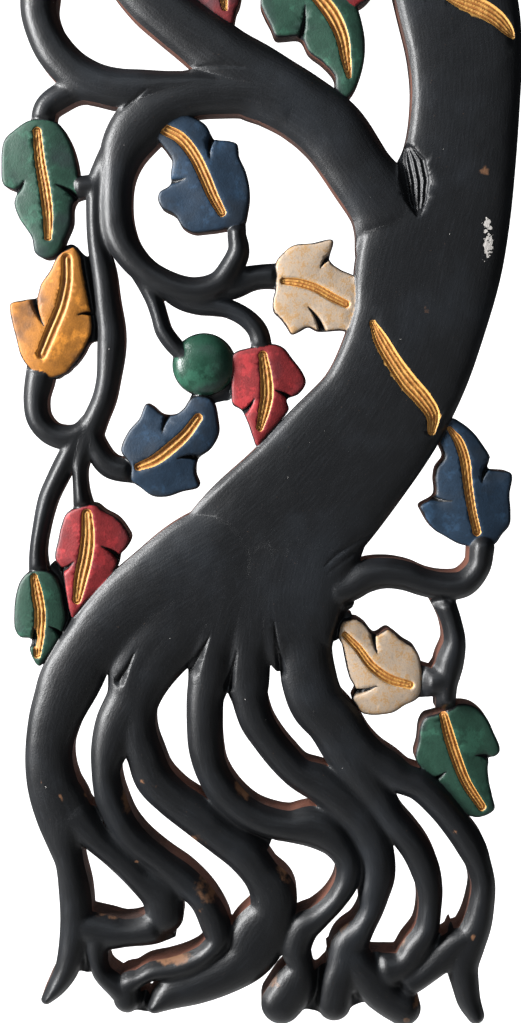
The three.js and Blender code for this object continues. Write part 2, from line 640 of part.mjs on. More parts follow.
// The ball fruit: an upright wall under a quarter-round dome
function fruit() {
  const radius = FRUIT.radius * SQUARE;
  const profile = [new THREE.Vector2(0, 0), new THREE.Vector2(radius, 0)];
  for (let ring = 0; ring < FRUIT_RINGS; ring += 1) {
    const angle = (ring / FRUIT_RINGS) * (Math.PI / 2);
    const height = FRUIT_WALL + (FRUIT_THICKNESS - FRUIT_WALL) * Math.sin(angle);
    profile.push(new THREE.Vector2(radius * Math.cos(angle), height));
  }
  profile.push(new THREE.Vector2(0, FRUIT_THICKNESS));
  const geometry = new THREE.LatheGeometry(profile, FRUIT_SIDES);
  geometry.rotateX(Math.PI / 2);
  geometry.translate(boardX(FRUIT.x), boardY(FRUIT.y), 0);
  return toSolid(geometry);
}

// Everything behind the wall plane, so that the back is planed flat
function spaceBehindWall() {
  const reach = 4 * PANEL_WIDTH;
  const box = new THREE.BoxGeometry(reach, reach, BOARD_THICKNESS);
  box.translate(0, 0, -BOARD_THICKNESS / 2);
  return toSolid(box);
}

const joinAll = (solids) => solids.reduce((whole, solid) => whole.add(solid));

function carvedPanel() {
  const leaves = [
    ...Object.entries(LEAVES).map(([name, leaf]) => ({
      ...leaf,
      outline: standingOutline(name, leaf.outline, LEAF_THICKNESS - LEAF_BEVEL),
    })),
    ...Object.values(REPEATED_LEAVES).map(repeatLeaf),
  ];
  const trunk = Object.entries(TRUNK).map(([name, route]) =>
    limb(name, route, FLAT_FACETS, FLAT_POWER, LIMB_WALL, BOARD_THICKNESS),
  );
  const limbs = Object.entries({ ...LIMBS, ...ROOTS }).map(([name, route]) =>
    limb(name, route, ROUND_FACETS, ROUND_POWER, LIMB_WALL, BOARD_THICKNESS),
  );
  const stems = Object.entries(STEMS).map(([name, route]) =>
    limb(name, route, ROUND_FACETS, ROUND_POWER, STEM_WALL, STEM_THICKNESS),
  );
  const webs = Object.entries(WEBS).map(([name, outline]) =>
    plate(standingOutline(name, outline, WEB_THICKNESS), WEB_THICKNESS, 0),
  );
  const plates = leaves.map((leaf) => plate(leaf.outline, LEAF_THICKNESS, LEAF_BEVEL));
  const marks = TRUNK_MARKS.map(markChannel);
  const cuts = leaves.flatMap((leaf) => leaf.notches.map(notch));

  const foliage = joinAll(plates).subtract(
    joinAll([...leaves.map((leaf) => channel(leaf.vein, LEAF_THICKNESS - VEIN_DEPTH)), ...cuts]),
  );
  const timber = joinAll([...trunk, ...limbs, ...stems, ...webs, fruit()]).subtract(joinAll(marks));
  return timber.add(foliage).subtract(spaceBehindWall());
}

function toGeometry(solid) {
  const { vertProperties, triVerts } = solid.getMesh();
  const geometry = new THREE.BufferGeometry();
  geometry.setAttribute("position", new THREE.Float32BufferAttribute(vertProperties, 3));
  geometry.setIndex(new THREE.Uint32BufferAttribute(triVerts, 1));
  return geometry;
}

const blackStainedWood = new THREE.MeshStandardMaterial({
  color: 0x2b2b29,
  roughness: 0.42,
  metalness: 0,
});

const panel = new THREE.Mesh(toGeometry(carvedPanel()), blackStainedWood);
panel.name = "carved_panel";
panel.rotation.x = Math.PI / 2; // stands the board upright, its back against the wall

const wallPanel = new THREE.Group();
wallPanel.add(panel);

export default wallPanel;
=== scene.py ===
"""A carved openwork wall panel: a leaning tree with ringed boughs, painted leaves, a ball fruit
and interlaced roots, cut from one flat-backed board.

The face is worked out as a relief over the squares of the drawing, meshed with sawn sides and
a planed back, and finished in black stain, leaf paint and gold.
"""

import math

import bmesh
import bpy
import numpy as np
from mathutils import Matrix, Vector


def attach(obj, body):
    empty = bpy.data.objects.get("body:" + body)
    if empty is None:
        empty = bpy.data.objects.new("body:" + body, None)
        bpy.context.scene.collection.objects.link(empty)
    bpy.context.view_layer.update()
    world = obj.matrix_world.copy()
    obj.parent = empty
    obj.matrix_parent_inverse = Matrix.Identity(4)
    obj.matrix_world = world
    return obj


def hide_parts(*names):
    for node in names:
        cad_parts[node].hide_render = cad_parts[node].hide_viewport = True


bl_info = {
    "name": "Carved tree wall panel",
    "version": (1, 0, 0),
    "blender": (4, 5, 0),
    "location": "3D View > Sidebar > Carved panel",
    "description": "Builds the carved, stained and painted tree panel and its studio stage",
    "category": "Object",
}

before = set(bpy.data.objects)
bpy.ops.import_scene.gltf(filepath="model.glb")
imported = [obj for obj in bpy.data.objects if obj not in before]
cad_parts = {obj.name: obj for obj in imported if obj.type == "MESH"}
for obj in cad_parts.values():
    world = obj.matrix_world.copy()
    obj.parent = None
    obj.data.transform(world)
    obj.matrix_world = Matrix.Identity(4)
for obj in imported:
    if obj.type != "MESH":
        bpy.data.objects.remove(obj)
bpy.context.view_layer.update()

# The drawing is laid out in squares, x to the right and y down, DRAWING_WIDTH squares wide.
DRAWING_WIDTH = 521
FIXING = (400, 330)
SHEET_LEFT, SHEET_RIGHT = -8, 529
SHEET_TOP, SHEET_BOTTOM = -284, 1032
BEYOND = 3.0  # squares past its edge to which a piece's surface is carried on
CORNER_GAP = 0.04  # squares that the carving's edge keeps from the crossings of the lines

# Places of the materials on the carving
FACE, SIDE, BACK = range(3)

# The drawing shows the carving as seen from in front, where a wall turned towards the eye shows
# down to its foot. Drawn edges are put back to where they stand on the board.
EYE = (260.5, 372)
SEEN_FROM = 0  # above this line the crown is drawn as it stands
GAP_PROBE = 3.0  # squares outside an edge at which another piece hides its foot
SINK = 0.9  # half-widths over which a limb's crest sinks towards an end that is buried

# Centre lines with half-widths in squares, as in the part's drawing. Only the ring's start,
# inside the bough, lies deeper here.
TRUNK = {
    "trunk": [
        [404, -115, 49], [440, -55, 57], [455.5, 0, 62], [463.5, 50, 58], [464.5, 100, 55],
        [458.5, 160, 57], [444, 215, 66], [429.5, 262, 72.5], [419, 318, 67], [403.5, 365, 66],
        [380, 412, 66], [342, 460, 70.5], [304, 503.5, 74], [262, 545, 76], [225, 585, 72],
    ],
    "trunk_foot": [[322, 500, 56], [300, 555, 58], [290, 605, 52], [297, 640, 36], [305, 664, 27]],
}

LIMBS = {
    "crown_arm": [
        [454, 0, 58], [440, -55, 57], [404, -115, 49], [355, -163, 41], [298, -198, 33],
        [238, -222, 26], [182, -230, 20], [135, -218, 16], [108, -190, 13],
    ],
    "bough": [
        [407, 250, 53], [398, 228, 45], [385.5, 206, 38.5], [362.5, 177, 34.5], [331, 132, 35.5],
        [299.5, 107, 35], [271.5, 91, 36.5], [250, 78, 37], [228, 60, 32], [205, 43, 31],
        [189, 31, 29.5], [169, 14, 29.5], [150, -4, 29.5], [128, -32, 26], [111, -64, 22],
        [101, -100, 18], [100, -140, 15], [106, -172, 13], [118, -198, 12],
    ],
    "ring": [
        [304, 122, 16], [280, 103, 24], [250, 94, 26], [220, 93.5, 25.5], [190, 94, 23.5],
        [165, 104, 24], [141, 124, 27], [125.2, 150, 24.3], [119, 177, 18], [117, 208, 17],
        [119.5, 232, 17], [129, 253, 15], [151.5, 275.5, 13.5], [190, 290.5, 13.5],
        [218, 284, 12.5], [232, 266, 11.5], [239, 250, 11], [237, 235, 9.5], [237, 222, 9],
    ],
    "upper_left_branch": [
        [222, 84, 8], [192, 84, 12], [165, 87, 15.5], [140, 88.5, 18.5], [120, 88.5, 19.5],
        [100, 86, 21], [83, 78, 20.5], [67, 66, 20], [53.5, 49, 19], [44.5, 30, 18.5], [40, 10, 19],
        [39, -12, 18.5], [42, -38, 17], [52, -66, 15], [72, -92, 13], [100, -104, 13],
    ],
    "right_branch": [
        [322, 590, 16], [345, 588, 15], [365, 576, 16.5], [385, 571, 17], [405, 574, 16],
        [425, 581, 15], [445, 584, 15.5], [462.5, 581, 15.5], [476, 566, 14], [481.5, 547, 12.5],
    ],
    "right_twig": [
        [441, 596, 13], [446, 609, 11.5], [450, 622, 11.3], [452.5, 642, 12.7], [449, 664, 14],
        [446, 685, 11], [445, 710, 9.5],
    ],
    "right_twig_fork": [[449, 668, 15], [435, 678, 16], [418, 681, 16.5]],
}

STEMS = {
    "green_left_stem": [
        [120, 95, 12], [95, 92.5, 13], [76, 93, 13.5], [61, 99, 15], [48.5, 109, 14], [43, 126, 12],
    ],
    "green_left_bridge": [[68, 190, 12], [84, 188, 12], [100, 186, 12]],
    "long_stem": [
        [132, 138, 9], [115, 154, 14], [106, 167, 12.5], [98, 184, 10.5], [95, 210, 8.5],
        [97, 240, 9.5], [104, 270, 13], [108, 300, 13.5], [112, 330, 14.5], [112, 350, 14.5],
        [109, 380, 12.5], [104.5, 400, 12.5], [96, 420, 13], [86, 440, 14], [82, 455, 10],
        [81, 470, 8.5], [82, 490, 8.5], [84, 512, 10],
    ],
    "hook_stem": [
        [40.5, 362, 12], [40, 376, 14], [37.5, 400, 13.5], [40, 418, 13], [50.5, 431.5, 12.5],
        [66, 437, 12.5], [80, 432, 10], [90, 425, 12],
    ],
    "green_low_stem": [
        [78, 432, 7], [74, 444, 9], [65.5, 462, 10.5], [57, 481, 11], [48.8, 500, 10.5],
        [42, 530, 9.3], [39, 555, 9.3], [39, 576, 9.5],
    ],
    "blue_low_stem": [[91, 424, 8], [97, 446, 12], [110, 464.5, 13], [136, 471.5, 12]],
    "fruit_stem": [
        [122, 244, 8], [135, 266.5, 8.3], [147, 286.5, 8.3], [154.5, 301.5, 8.3],
        [159.8, 316.5, 8.5], [164, 330.5, 8.8], [175, 346, 8.8], [190, 361, 7],
    ],
    "red_mid_stem": [
        [152, 278, 8], [166, 289, 10], [181, 297.5, 12], [197, 303.5, 11.3], [213, 306, 10.3],
        [227.5, 308.5, 9.7], [246, 318, 9.7], [258, 331.5, 10.2], [262.5, 354, 10.8],
    ],
    "white_stem": [[208, 288, 9], [230, 285, 14], [250, 279, 13], [262, 277, 12.5], [284, 276, 13]],
    "green_top_stem": [
        [420, -70, 14], [385, -78, 12], [350, -70, 11], [322, -50, 10], [306, -28, 10],
    ],
    "maroon_top_stem": [[112, -66, 12], [145, -80, 10], [178, -78, 9], [208, -54, 9]],
    "red_top_stem": [[380, -84, 10], [370, -66, 9], [360, -44, 9]],
    "crown_left_stem": [[104, -150, 11], [82, -150, 10], [62, -140, 9]],
    "crown_middle_stem": [[253, -226, 13], [249, -206, 10.5], [246, -184, 9.5]],
    "crown_right_stem": [[360, -168, 14], [372, -196, 11], [372, -216, 10]],
}

ROOTS = {
    "root_1": [
        [264, 528, 36], [208, 563, 53.5], [160, 590, 45.5], [120, 617, 37], [86, 652, 30],
        [70, 681, 31], [61.5, 702, 28.5], [55.5, 720, 26.7], [51, 745, 25], [52, 768, 26],
        [57, 790, 28], [64, 815, 27.5], [65.5, 843, 17.5], [72.5, 862, 16.5], [77, 893, 17.5],
        [76.5, 920, 16], [73, 948, 14.5], [65, 971, 12.5], [54, 986, 11], [45.5, 996, 7],
    ],
    "root_1_branch": [
        [64, 800, 27], [85, 825, 17.5], [99, 839, 14.5], [116, 854, 13.5], [141, 877, 14.5],
        [162, 895, 20], [167, 913, 20.5],
    ],
    "root_1_return": [
        [165, 920, 20], [150, 928, 15.5], [126, 927, 18.5], [105, 926, 22], [88, 925, 16],
    ],
    "root_1_foot": [[100, 930, 14], [99.5, 950, 13.5], [106, 969, 13.5], [121.5, 988, 12.5]],
    "root_2": [
        [262, 550, 34], [208, 594, 48], [165, 625, 37], [139, 661, 29.5], [132, 698, 25.5],
        [118, 725, 23], [109.5, 750, 18.5], [107.5, 770, 15.7], [110, 785.5, 16.5],
        [114.2, 799.5, 17.8], [125.7, 822, 17.3], [140, 839, 17.7], [163, 857, 16.7],
        [186, 876, 18.3], [207, 899, 16.8], [216.5, 926, 15], [216, 938, 14], [205, 948, 14],
        [192, 956, 15.5], [170, 962.5, 15.5], [150, 966, 14], [136, 975, 12], [128, 985, 12.5],
        [128, 997, 14],
    ],
    "root_3": [
        [250, 556, 28], [190, 615, 38], [161, 652, 30], [144, 681, 25], [139, 705, 20],
        [138.5, 718, 19.5], [141, 737, 20], [148, 756, 20.5], [157, 777, 22], [176, 796, 22],
        [197, 815, 20], [222, 836, 18.5], [246, 854, 19.5], [265, 875, 21], [273.5, 894, 23.5],
        [269.5, 914, 24.5], [256, 940, 29], [246, 958, 24], [222.5, 973, 21], [195.5, 984, 19],
        [170, 992, 16], [152, 1000, 12],
    ],
    "root_4": [
        [256, 556, 26], [222, 612, 32], [212, 650, 24], [209, 681, 21], [205.5, 698, 18.8],
        [205.2, 725, 18.3], [207.3, 748, 18.4], [214, 770, 18], [229, 793, 19], [252, 811, 18.5],
        [275, 819.5, 19], [292, 822, 19.5], [318, 827, 21], [338, 843, 15.8], [348.5, 862, 13.5],
        [344, 880, 14.5], [331, 899, 14], [314, 915, 15.5], [301, 930, 16], [296, 950, 15],
        [299, 966, 13.5], [291, 985, 24], [279, 1000, 23.5],
    ],
    "root_5": [
        [268, 556, 26], [254, 612, 32], [249, 652, 23], [247.5, 681, 22], [250.5, 697, 19],
        [258, 720, 18.3], [270, 738, 17.7], [285.3, 756.5, 18], [301.2, 771.2, 18.4],
        [324, 785, 19.5], [344, 801, 20], [361, 818, 19], [372, 838, 18.5], [377.5, 858, 17.5],
        [377.5, 877, 17], [373.5, 893, 15.5], [368, 908.5, 14.8], [358.5, 926.5, 15.5],
        [348.5, 945.5, 18], [341, 965, 19], [337, 985, 18], [334, 1002, 17],
    ],
    "root_6": [
        [288, 558, 32], [296, 615, 40], [305, 650, 27.5], [309.5, 680, 28], [318, 703, 28],
        [332.5, 722, 26], [350, 750, 26], [366, 778, 21], [379, 798, 17.5], [392, 816, 16],
        [407, 834.5, 16.2], [418, 851.5, 15.7], [425, 869.5, 14.9], [428.5, 890, 13.8],
        [427, 910, 13.5], [422, 930, 15.5], [411, 946, 18], [399, 960, 17.5], [384, 970, 18.5],
        [370, 973, 22],
    ],
    "root_7": [
        [308.5, 680, 27], [315.5, 700, 26], [338, 725, 25], [356, 743, 22.5], [371, 757, 22],
        [389, 767, 20.5], [404, 776, 18], [420, 785, 15.5], [443, 807, 15], [459.5, 828, 15],
        [471.5, 847, 14.8], [478, 865, 13.2], [481, 885, 13.7], [478, 905, 15.5], [473, 925, 17.5],
        [467.5, 945, 16.7], [462, 966, 16], [465, 985, 14], [469.5, 1001, 12], [476, 1013, 9.5],
    ],
    "root_8": [
        [468, 928, 12], [456, 941, 13], [441, 955, 15.5], [427, 968, 13.5], [411, 979, 13.5],
        [397, 987, 13],
    ],
    "root_9": [
        [345, 940, 20], [360, 963, 20], [375, 984, 20], [390, 999, 17.5], [403, 1006.5, 17.5],
    ],
}

ROUND_TIPS = [
    "root_1", "root_1_foot", "root_1_branch", "root_1_return", "root_2", "root_3", "root_4",
    "root_5", "root_7", "root_9", "crown_arm", "right_branch",
]

WEBS = {
    "gold_ground": [
        [66, 246], [72, 244], [80, 251], [86, 256], [98, 256], [100, 338], [91, 345], [85, 356],
        [76, 367], [66, 374], [54, 379], [50, 370], [60, 300],
    ],
    "fruit_ground": [[194, 392], [233, 372], [230, 400], [224, 401], [205, 404], [190, 400]],
    "red_low_ground": [[50, 565], [58, 564], [66, 590], [72, 626], [64, 632], [60, 590], [50, 572]],
    "right_crotch": [
        [325, 590], [352, 598], [354, 602], [352, 608], [347, 613], [352, 616], [343, 624],
        [336, 640], [325, 640],
    ],
    "left_root_crotch": [[75, 940], [100, 940], [94, 968], [86, 972], [79, 968]],
    "middle_root_crotch": [
        [300, 955], [318, 960], [326, 959], [345, 955], [340, 1000], [320, 1010], [300, 1006],
        [285, 1000],
    ],
    "left_root_ground": [[90, 806], [95, 802], [100, 801], [104, 812], [100, 822], [92, 816]],
    "middle_root_ground": [[240, 822], [264, 826], [272, 838], [266, 848], [246, 842]],
    "left_foot_crotch": [[134, 993], [150, 991], [154, 1007], [146, 1011], [134, 1008]],
    "foot_crotch": [[340, 955], [366, 985], [362, 1002], [348, 1006], [335, 990]],
    "right_root_crotch": [[425, 925], [437, 926], [443, 927], [452, 925], [450, 950], [425, 955]],
}

LEAVES = {
    "green_left": {
        "outline": [
            [31, 120], [56, 122], [68, 136], [76, 153], [81, 172], [79, 192], [76, 206], [75, 224],
            [69, 240], [58, 254], [45, 260.5], [35, 252.5], [31.5, 237], [18.5, 217], [14, 203],
            [15, 191], [3, 184], [1, 165], [4, 140], [14, 130],
        ],
        "vein": [[37, 131, 5], [40, 160, 6], [45, 190, 6.5], [48, 215, 6], [48, 237, 4.5]],
        "notches": [[[14, 188], [25, 179]], [[72, 197], [54, 184]]],
    },
    "gold": {
        "outline": [
            [58, 256], [66, 250], [74, 247], [82, 253], [84, 275], [89, 300], [92, 318], [92, 332],
            [84, 350], [76, 366], [66, 375], [50, 378], [34, 372], [22, 358], [16, 338], [10, 312],
            [10, 304], [24, 300], [36, 297], [41, 284], [50, 271],
        ],
        "vein": [[67, 258, 6], [67, 280, 6.5], [62, 305, 7], [52, 330, 7], [42, 354, 6.5]],
        "notches": [[[36, 298], [45, 327]], [[92, 317], [77, 315]]],
    },
    "blue_ring": {
        "outline": [
            [154, 134], [157, 124], [166, 116], [177, 112], [190, 116], [205, 124.5], [214.5, 139],
            [228, 141], [237, 144], [239, 156], [246, 172], [250, 192], [249, 210], [244, 224],
            [222, 233], [206, 235], [193, 235], [182, 228], [174, 216], [161, 208], [158, 199],
            [160, 192], [170, 185], [171, 172], [172, 161], [164, 149],
        ],
        "vein": [
            [165, 130, 6.5], [180, 138, 7], [194, 155, 7], [204, 175, 7], [213, 196, 6.5],
            [222, 213, 5],
        ],
        "notches": [[[170, 178], [187, 178]], [[214, 141], [210, 160]]],
    },
    "white": {
        "outline": [
            [276, 262], [284, 252], [294, 245], [312, 243], [333, 240], [330, 260], [340, 269],
            [357, 278], [359, 292], [357, 314], [352, 331], [342, 331], [318, 332], [309, 328],
            [300, 332], [292, 335], [286, 327], [280, 319], [273, 311], [273, 298], [275, 290],
        ],
        "vein": [[284, 281, 4.5], [300, 283, 5.5], [316, 288, 5.5], [332, 297, 5.5], [346, 304, 5]],
        "notches": [[[331, 260], [320, 269]], [[319, 328], [307, 306]]],
    },
    "red_mid": {
        "outline": [
            [233, 354], [253, 347], [274, 344], [284, 348], [292, 358], [303, 373], [306, 383],
            [299, 394], [287, 400], [289, 409], [280, 422], [266, 438], [257, 447], [253, 438],
            [247, 421], [241, 410], [233, 405], [231, 392], [232, 370],
        ],
        "vein": [[263, 355, 5], [266, 375, 7], [267, 395, 7.5], [264, 412, 6.5], [260, 428, 4]],
        "notches": [[[241, 411], [255, 397]], [[288, 401], [274, 390]]],
    },
    "blue_low": {
        "outline": [
            [131, 466], [121, 451], [128, 432], [139, 419], [146, 404], [153, 405], [163, 413],
            [175, 414], [184, 408], [191, 398], [203, 396], [213, 401], [219, 420], [219, 435],
            [211, 449], [198, 460], [197, 474], [199, 487], [182, 492], [166, 497], [152, 496],
            [141, 488], [131, 480],
        ],
        "vein": [[138, 467, 4.5], [155, 460, 6.5], [172, 447, 7], [186, 434, 6.5], [198, 418, 5.5]],
        "notches": [[[172, 414], [162, 434]], [[197, 461], [176, 459]]],
    },
    "red_low": {
        "outline": [
            [73, 508], [94, 502], [106, 508], [120, 516], [130, 529], [132, 539], [126, 549],
            [120, 556], [117, 566], [109, 580], [97, 592], [85, 604], [72, 618], [67, 600],
            [64, 580], [62, 570], [55, 559], [58, 540], [61, 526], [66, 514],
        ],
        "vein": [[87, 514, 6], [88, 535, 8], [86, 555, 8.5], [81, 578, 8], [77, 600, 5]],
        "notches": [[[60, 568], [74, 561]], [[116, 560], [100, 546]]],
    },
    "green_low": {
        "outline": [
            [29, 570], [44, 570], [53, 574], [60, 585], [64, 602], [66, 618], [63, 631], [55, 646],
            [47, 658], [39, 666], [30, 650], [31, 639], [20, 637], [15, 630], [14, 612], [16, 594],
            [21, 580],
        ],
        "vein": [[34, 577, 4], [37, 593, 6.5], [40, 612, 6.5], [39, 635, 6.5], [37, 655, 4.5]],
        "notches": [[[31, 638], [32, 626]], [[58, 638], [48, 626]]],
    },
    "blue_right": {
        "outline": [
            [452, 418], [462, 423], [474, 433], [483, 445], [490.5, 458], [490, 469], [512, 474],
            [510, 495], [511, 512], [510, 525], [502, 535], [495, 544], [470, 546], [459, 544],
            [446, 537], [433, 529], [422.5, 514.5], [417, 505], [432, 494], [432, 478], [434, 466],
            [441, 456], [440, 443], [444, 434],
        ],
        "vein": [
            [450, 429, 3], [459, 442, 5.5], [465, 460, 6], [468, 485, 5.5], [472, 510, 5],
            [477, 532, 5],
        ],
        "notches": [[[490, 470], [482, 484]], [[433, 495], [453, 501]]],
    },
    "white_low": {
        "outline": [
            [342, 622], [349, 615], [358, 616], [367, 623], [376, 631], [388, 625], [396, 632],
            [407, 641], [415, 648], [421, 662], [419, 697], [404, 706], [393, 713], [364, 714],
            [357, 706], [352, 700], [354.5, 691], [349.5, 678], [345, 660], [342.5, 646],
            [338, 637],
        ],
        "vein": [[345, 635, 4], [358, 648, 5], [372, 666, 5.5], [390, 679, 6], [410, 685, 5]],
        "notches": [[[377, 631], [378, 655]], [[355, 690], [378, 685]]],
    },
    "green_right": {
        "outline": [
            [434, 708], [421, 713], [417, 725], [415.5, 744], [416, 760], [430, 779], [442, 792],
            [456, 806], [470, 816], [480, 817], [494, 810], [492.5, 797], [489, 780], [489, 763],
            [500, 752.5], [494, 733], [486, 717], [475, 704], [457, 698], [453, 708],
        ],
        "vein": [[444, 716, 5], [449, 735, 6.5], [456, 757, 6.5], [466, 782, 6], [482, 807, 5]],
        "notches": [[[488, 762], [475, 756]], [[429, 780], [447, 771]]],
    },
    "green_top": {
        "outline": [
            [260.5, 0], [262, 12], [268, 25], [272.5, 38.5], [283, 42.5], [297.5, 41.5],
            [305.5, 54], [320, 66], [331, 78], [336, 90], [347, 98], [357, 87], [364, 62],
            [365, 40], [361.5, 20], [355, 0], [345, -22], [325, -38], [300, -42], [280, -34],
            [266, -18],
        ],
        "vein": [
            [300, -24, 4], [316, -6, 8], [332, 14, 9], [342, 36, 8], [346, 58, 6], [349, 76, 3],
        ],
        "notches": [[[297, 40], [305, 4]]],
    },
    "maroon_top": {
        "outline": [
            [241, 0], [239, 10], [232, 25], [218, 18], [204, 7], [195, 0], [186, -30], [196, -50],
            [212, -62], [232, -50], [242, -28],
        ],
        "vein": [[212, -50, 4], [218, -30, 6], [223, -8, 5.5], [225, 8, 3.5]],
        "notches": [[[187, -26], [202, -22]]],
    },
    "red_top": {
        "outline": [
            [340, 0], [355, 8], [362, 9], [369, 0], [380, -20], [378, -45], [360, -60], [342, -50],
            [334, -25],
        ],
        "vein": [[360, -48, 3.5], [358, -30, 5], [358, -12, 4]],
        "notches": [],
    },
}

REPEATED_LEAVES = {
    "crown_left": {
        "like": "red_mid", "from": [264, 347], "to": [66, -148], "turn": 118, "scale": 0.55,
    },
    "crown_middle": {
        "like": "red_low", "from": [86, 506], "to": [246, -196], "turn": 0, "scale": 0.85,
    },
    "crown_right": {
        "like": "gold", "from": [42, 374], "to": [372, -208], "turn": 28, "scale": 0.6,
    },
}

# The gilded marks on the trunk, their grooves and their depth as a share of a vein's
MARK_GROOVES = 4
MARK_DEPTH = 0.8
TRUNK_MARKS = [
    [
        [372, 323, 3], [380, 340, 7], [393, 362, 8], [407, 382, 9], [422, 399, 8.5], [432, 415, 7],
        [431, 431, 4],
    ],
    [[440, -4, 3], [462, 4, 8], [480, 11, 9], [495, 20, 8], [506, 31, 6], [512, 39, 2]],
]

# The ball fruit's middle and radius
FRUIT = (203.7, 364.7, 32.0)

# Times that the wood's height is softened everywhere, and again at the trunk's foot: its middle,
# the radius that is softened fully and the radius where that ends. The softening at the foot
# sets in between two distances from the wood's edge.
BLEND_PASSES = 22
TRUNK_FOOT = (240, 556, 62, 108)
FOOT_PASSES = 420
FOOT_RIM = (4, 30)

# Tool waviness: each layer's share, the spacing of its swells in squares and its seed
TOOL_WAVES = [(0.6, 34, 11), (0.4, 13, 12)]

# Grooves cut beside the forks: centre line with half-width, then depth as a share of the deepest
GOUGES = [
    ([[324, 565, 1.5], [340, 551, 3.5], [358, 540, 3.5], [374, 532, 2]], 0.3),
    ([[327, 573, 1.5], [345, 559, 3], [362, 548, 3], [372, 543, 1.5]], 0.2),
    ([[135, 651, 0.8], [128, 666, 3], [120, 680, 6]], 1.0),
    ([[210, 634, 0.8], [202, 650, 4], [193, 668, 8]], 1.0),
    ([[237, 650, 0.8], [233, 668, 3], [229, 686, 6]], 1.0),
    ([[274, 620, 0.8], [277, 645, 3], [281, 672, 6]], 1.0),
    ([[192, 68, 1], [218, 67, 3], [245, 69, 1]], 0.6),
    ([[147, 91, 1], [134, 101, 3], [121, 112, 1]], 0.6),
    ([[441, 594, 1], [448, 600, 3], [455, 605, 1]], 0.6),
]

# The fluted hollow in the fork of trunk and bough: its left and right edges, top to bottom
FORK_LEFT = [[406, 142], [401, 161], [405, 184], [408, 201], [417, 220]]
FORK_RIGHT = [[408, 142], [425, 161], [429, 181], [426, 202], [419, 220]]
FORK_FLUTES = 4

# Where the stain is rubbed through to brown wood: x, y, radius across, radius down, strength
RUBBED = [
    [248, 786, 17, 14, 1.0], [128, 800, 8, 15, 0.8], [86, 795, 4, 5, 0.8], [180, 840, 28, 9, 0.8],
    [210, 887, 20, 24, 0.7], [286, 870, 11, 14, 0.8], [118, 912, 28, 8, 0.8],
    [162, 955, 36, 9, 0.9], [272, 980, 10, 10, 0.8], [318, 885, 16, 14, 0.7],
    [338, 925, 12, 14, 0.8], [395, 935, 14, 20, 0.8], [416, 1001, 5, 7, 0.9],
    [406, 1017, 5, 4, 0.9], [460, 902, 9, 22, 0.8], [472, 933, 4, 4, 0.8], [42, 779, 3, 3, 0.9],
    [62, 793, 3, 3, 0.9], [143, 780, 3, 3, 0.9], [155, 782, 3, 3, 0.9], [137, 860, 3, 3, 0.9],
    [453, 828, 3, 3, 0.9], [482, 172, 6, 5, 1.0], [426, 311, 6, 8, 0.7],
]

# Where stain and ground have chipped off to white filler: x, y, radius across, radius down
CHIPPED = [[486, 226, 4, 8], [487, 245, 5, 12]]

# Grooves in a leaf's vein where there aren't three, and the share of the drawn width they take
USUAL_GROOVES = 3
VEIN_GROOVES = {"blue_low": 2, "gold": 2}
VEIN_TRIM = 0.9

# A leaf's face, in squares: the width of its rounded edge, how soon its crown rises, and the
# distances from the vein between which its halves fall
LEAF_ROUNDING = 3.6
LEAF_CROWN_REACH = 12
LEAF_FALL_REACH = (2, 34)

# The cuts between a leaf's lobes, in squares: how far outside the edge they begin, how far they
# bow sideways, their half-width at the tip and its gain towards the edge. Then the steepness of
# their two sides.
NOTCH_START = 6
NOTCH_BOW = 2.5
NOTCH_TIP, NOTCH_GAIN = 0.6, 4.4
NOTCH_STEEP, NOTCH_GENTLE = 1.5, 0.7

# Leaves that stand higher than the others, in metres
LEAF_LIFT = {"blue_ring": 0.0022, "gold": 0.0004}

# Which of the paints each leaf has
LEAF_PAINT = {
    "green_left": "green", "gold": "amber", "blue_ring": "blue", "white": "pearl",
    "red_mid": "red", "blue_low": "blue", "red_low": "red", "green_low": "green",
    "blue_right": "blue", "white_low": "pearl", "green_right": "green", "green_top": "green",
    "maroon_top": "maroon", "red_top": "red", "crown_left": "red", "crown_middle": "amber",
    "crown_right": "blue",
}


def length(name, default, description):
    return bpy.props.FloatProperty(
        name=name, default=default, description=description, min=0.0, unit="LENGTH", precision=4
    )


def paint(name, default, description):
    return bpy.props.FloatVectorProperty(
        name=name, default=default, description=description, subtype="COLOR", size=3,
        min=0.0, max=1.0,
    )


class CarvedPanelSizes(bpy.types.PropertyGroup):
    """Sizes of the carving"""

    width: length("Panel width", 0.350, "Between the outermost leaves")
    crest: length("Board thickness", 0.025, "Planed back to the crest of trunk and thick limbs")
    limb_wall: length("Limb side", 0.015, "Upright side of a thick limb below its rounded top")
    stem_crest: length("Stem thickness", 0.020, "Planed back to the crest of a thin stem")
    stem_wall: length("Stem side", 0.012, "Upright side of a thin stem")
    leaf_face: length("Leaf thickness", 0.0186, "Planed back to the face of a leaf near its edge")
    leaf_crown: length("Leaf crown", 0.0010, "Rise of a leaf's face towards its middle")
    leaf_fall: length("Leaf fall", 0.0017, "Fall of a leaf's halves away from its vein")
    leaf_drop: length("Leaf rounding", 0.0026, "Height that a leaf's rounded edge takes up")
    web: length("Web thickness", 0.012, "Low ground left between limbs")
    fruit_crest: length("Fruit thickness", 0.023, "Planed back to the top of the ball fruit")
    fruit_wall: length("Fruit side", 0.011, "Upright side of the ball fruit")
    vein_depth: length("Vein depth", 0.0019, "Depth of the gouged veins")
    notch_depth: length("Notch depth", 0.0060, "Depth of the cuts between a leaf's lobes")
    gouge_depth: length("Gouge depth", 0.0040, "Depth of the deepest grooves beside forks")
    tool_wave: length("Tool waviness", 0.00035, "Unevenness that hand carving leaves on the wood")
    faces: bpy.props.IntProperty(
        name="Faces", default=168000, min=20000, max=190000,
        description="Triangles kept for the carved face and its sides",
    )


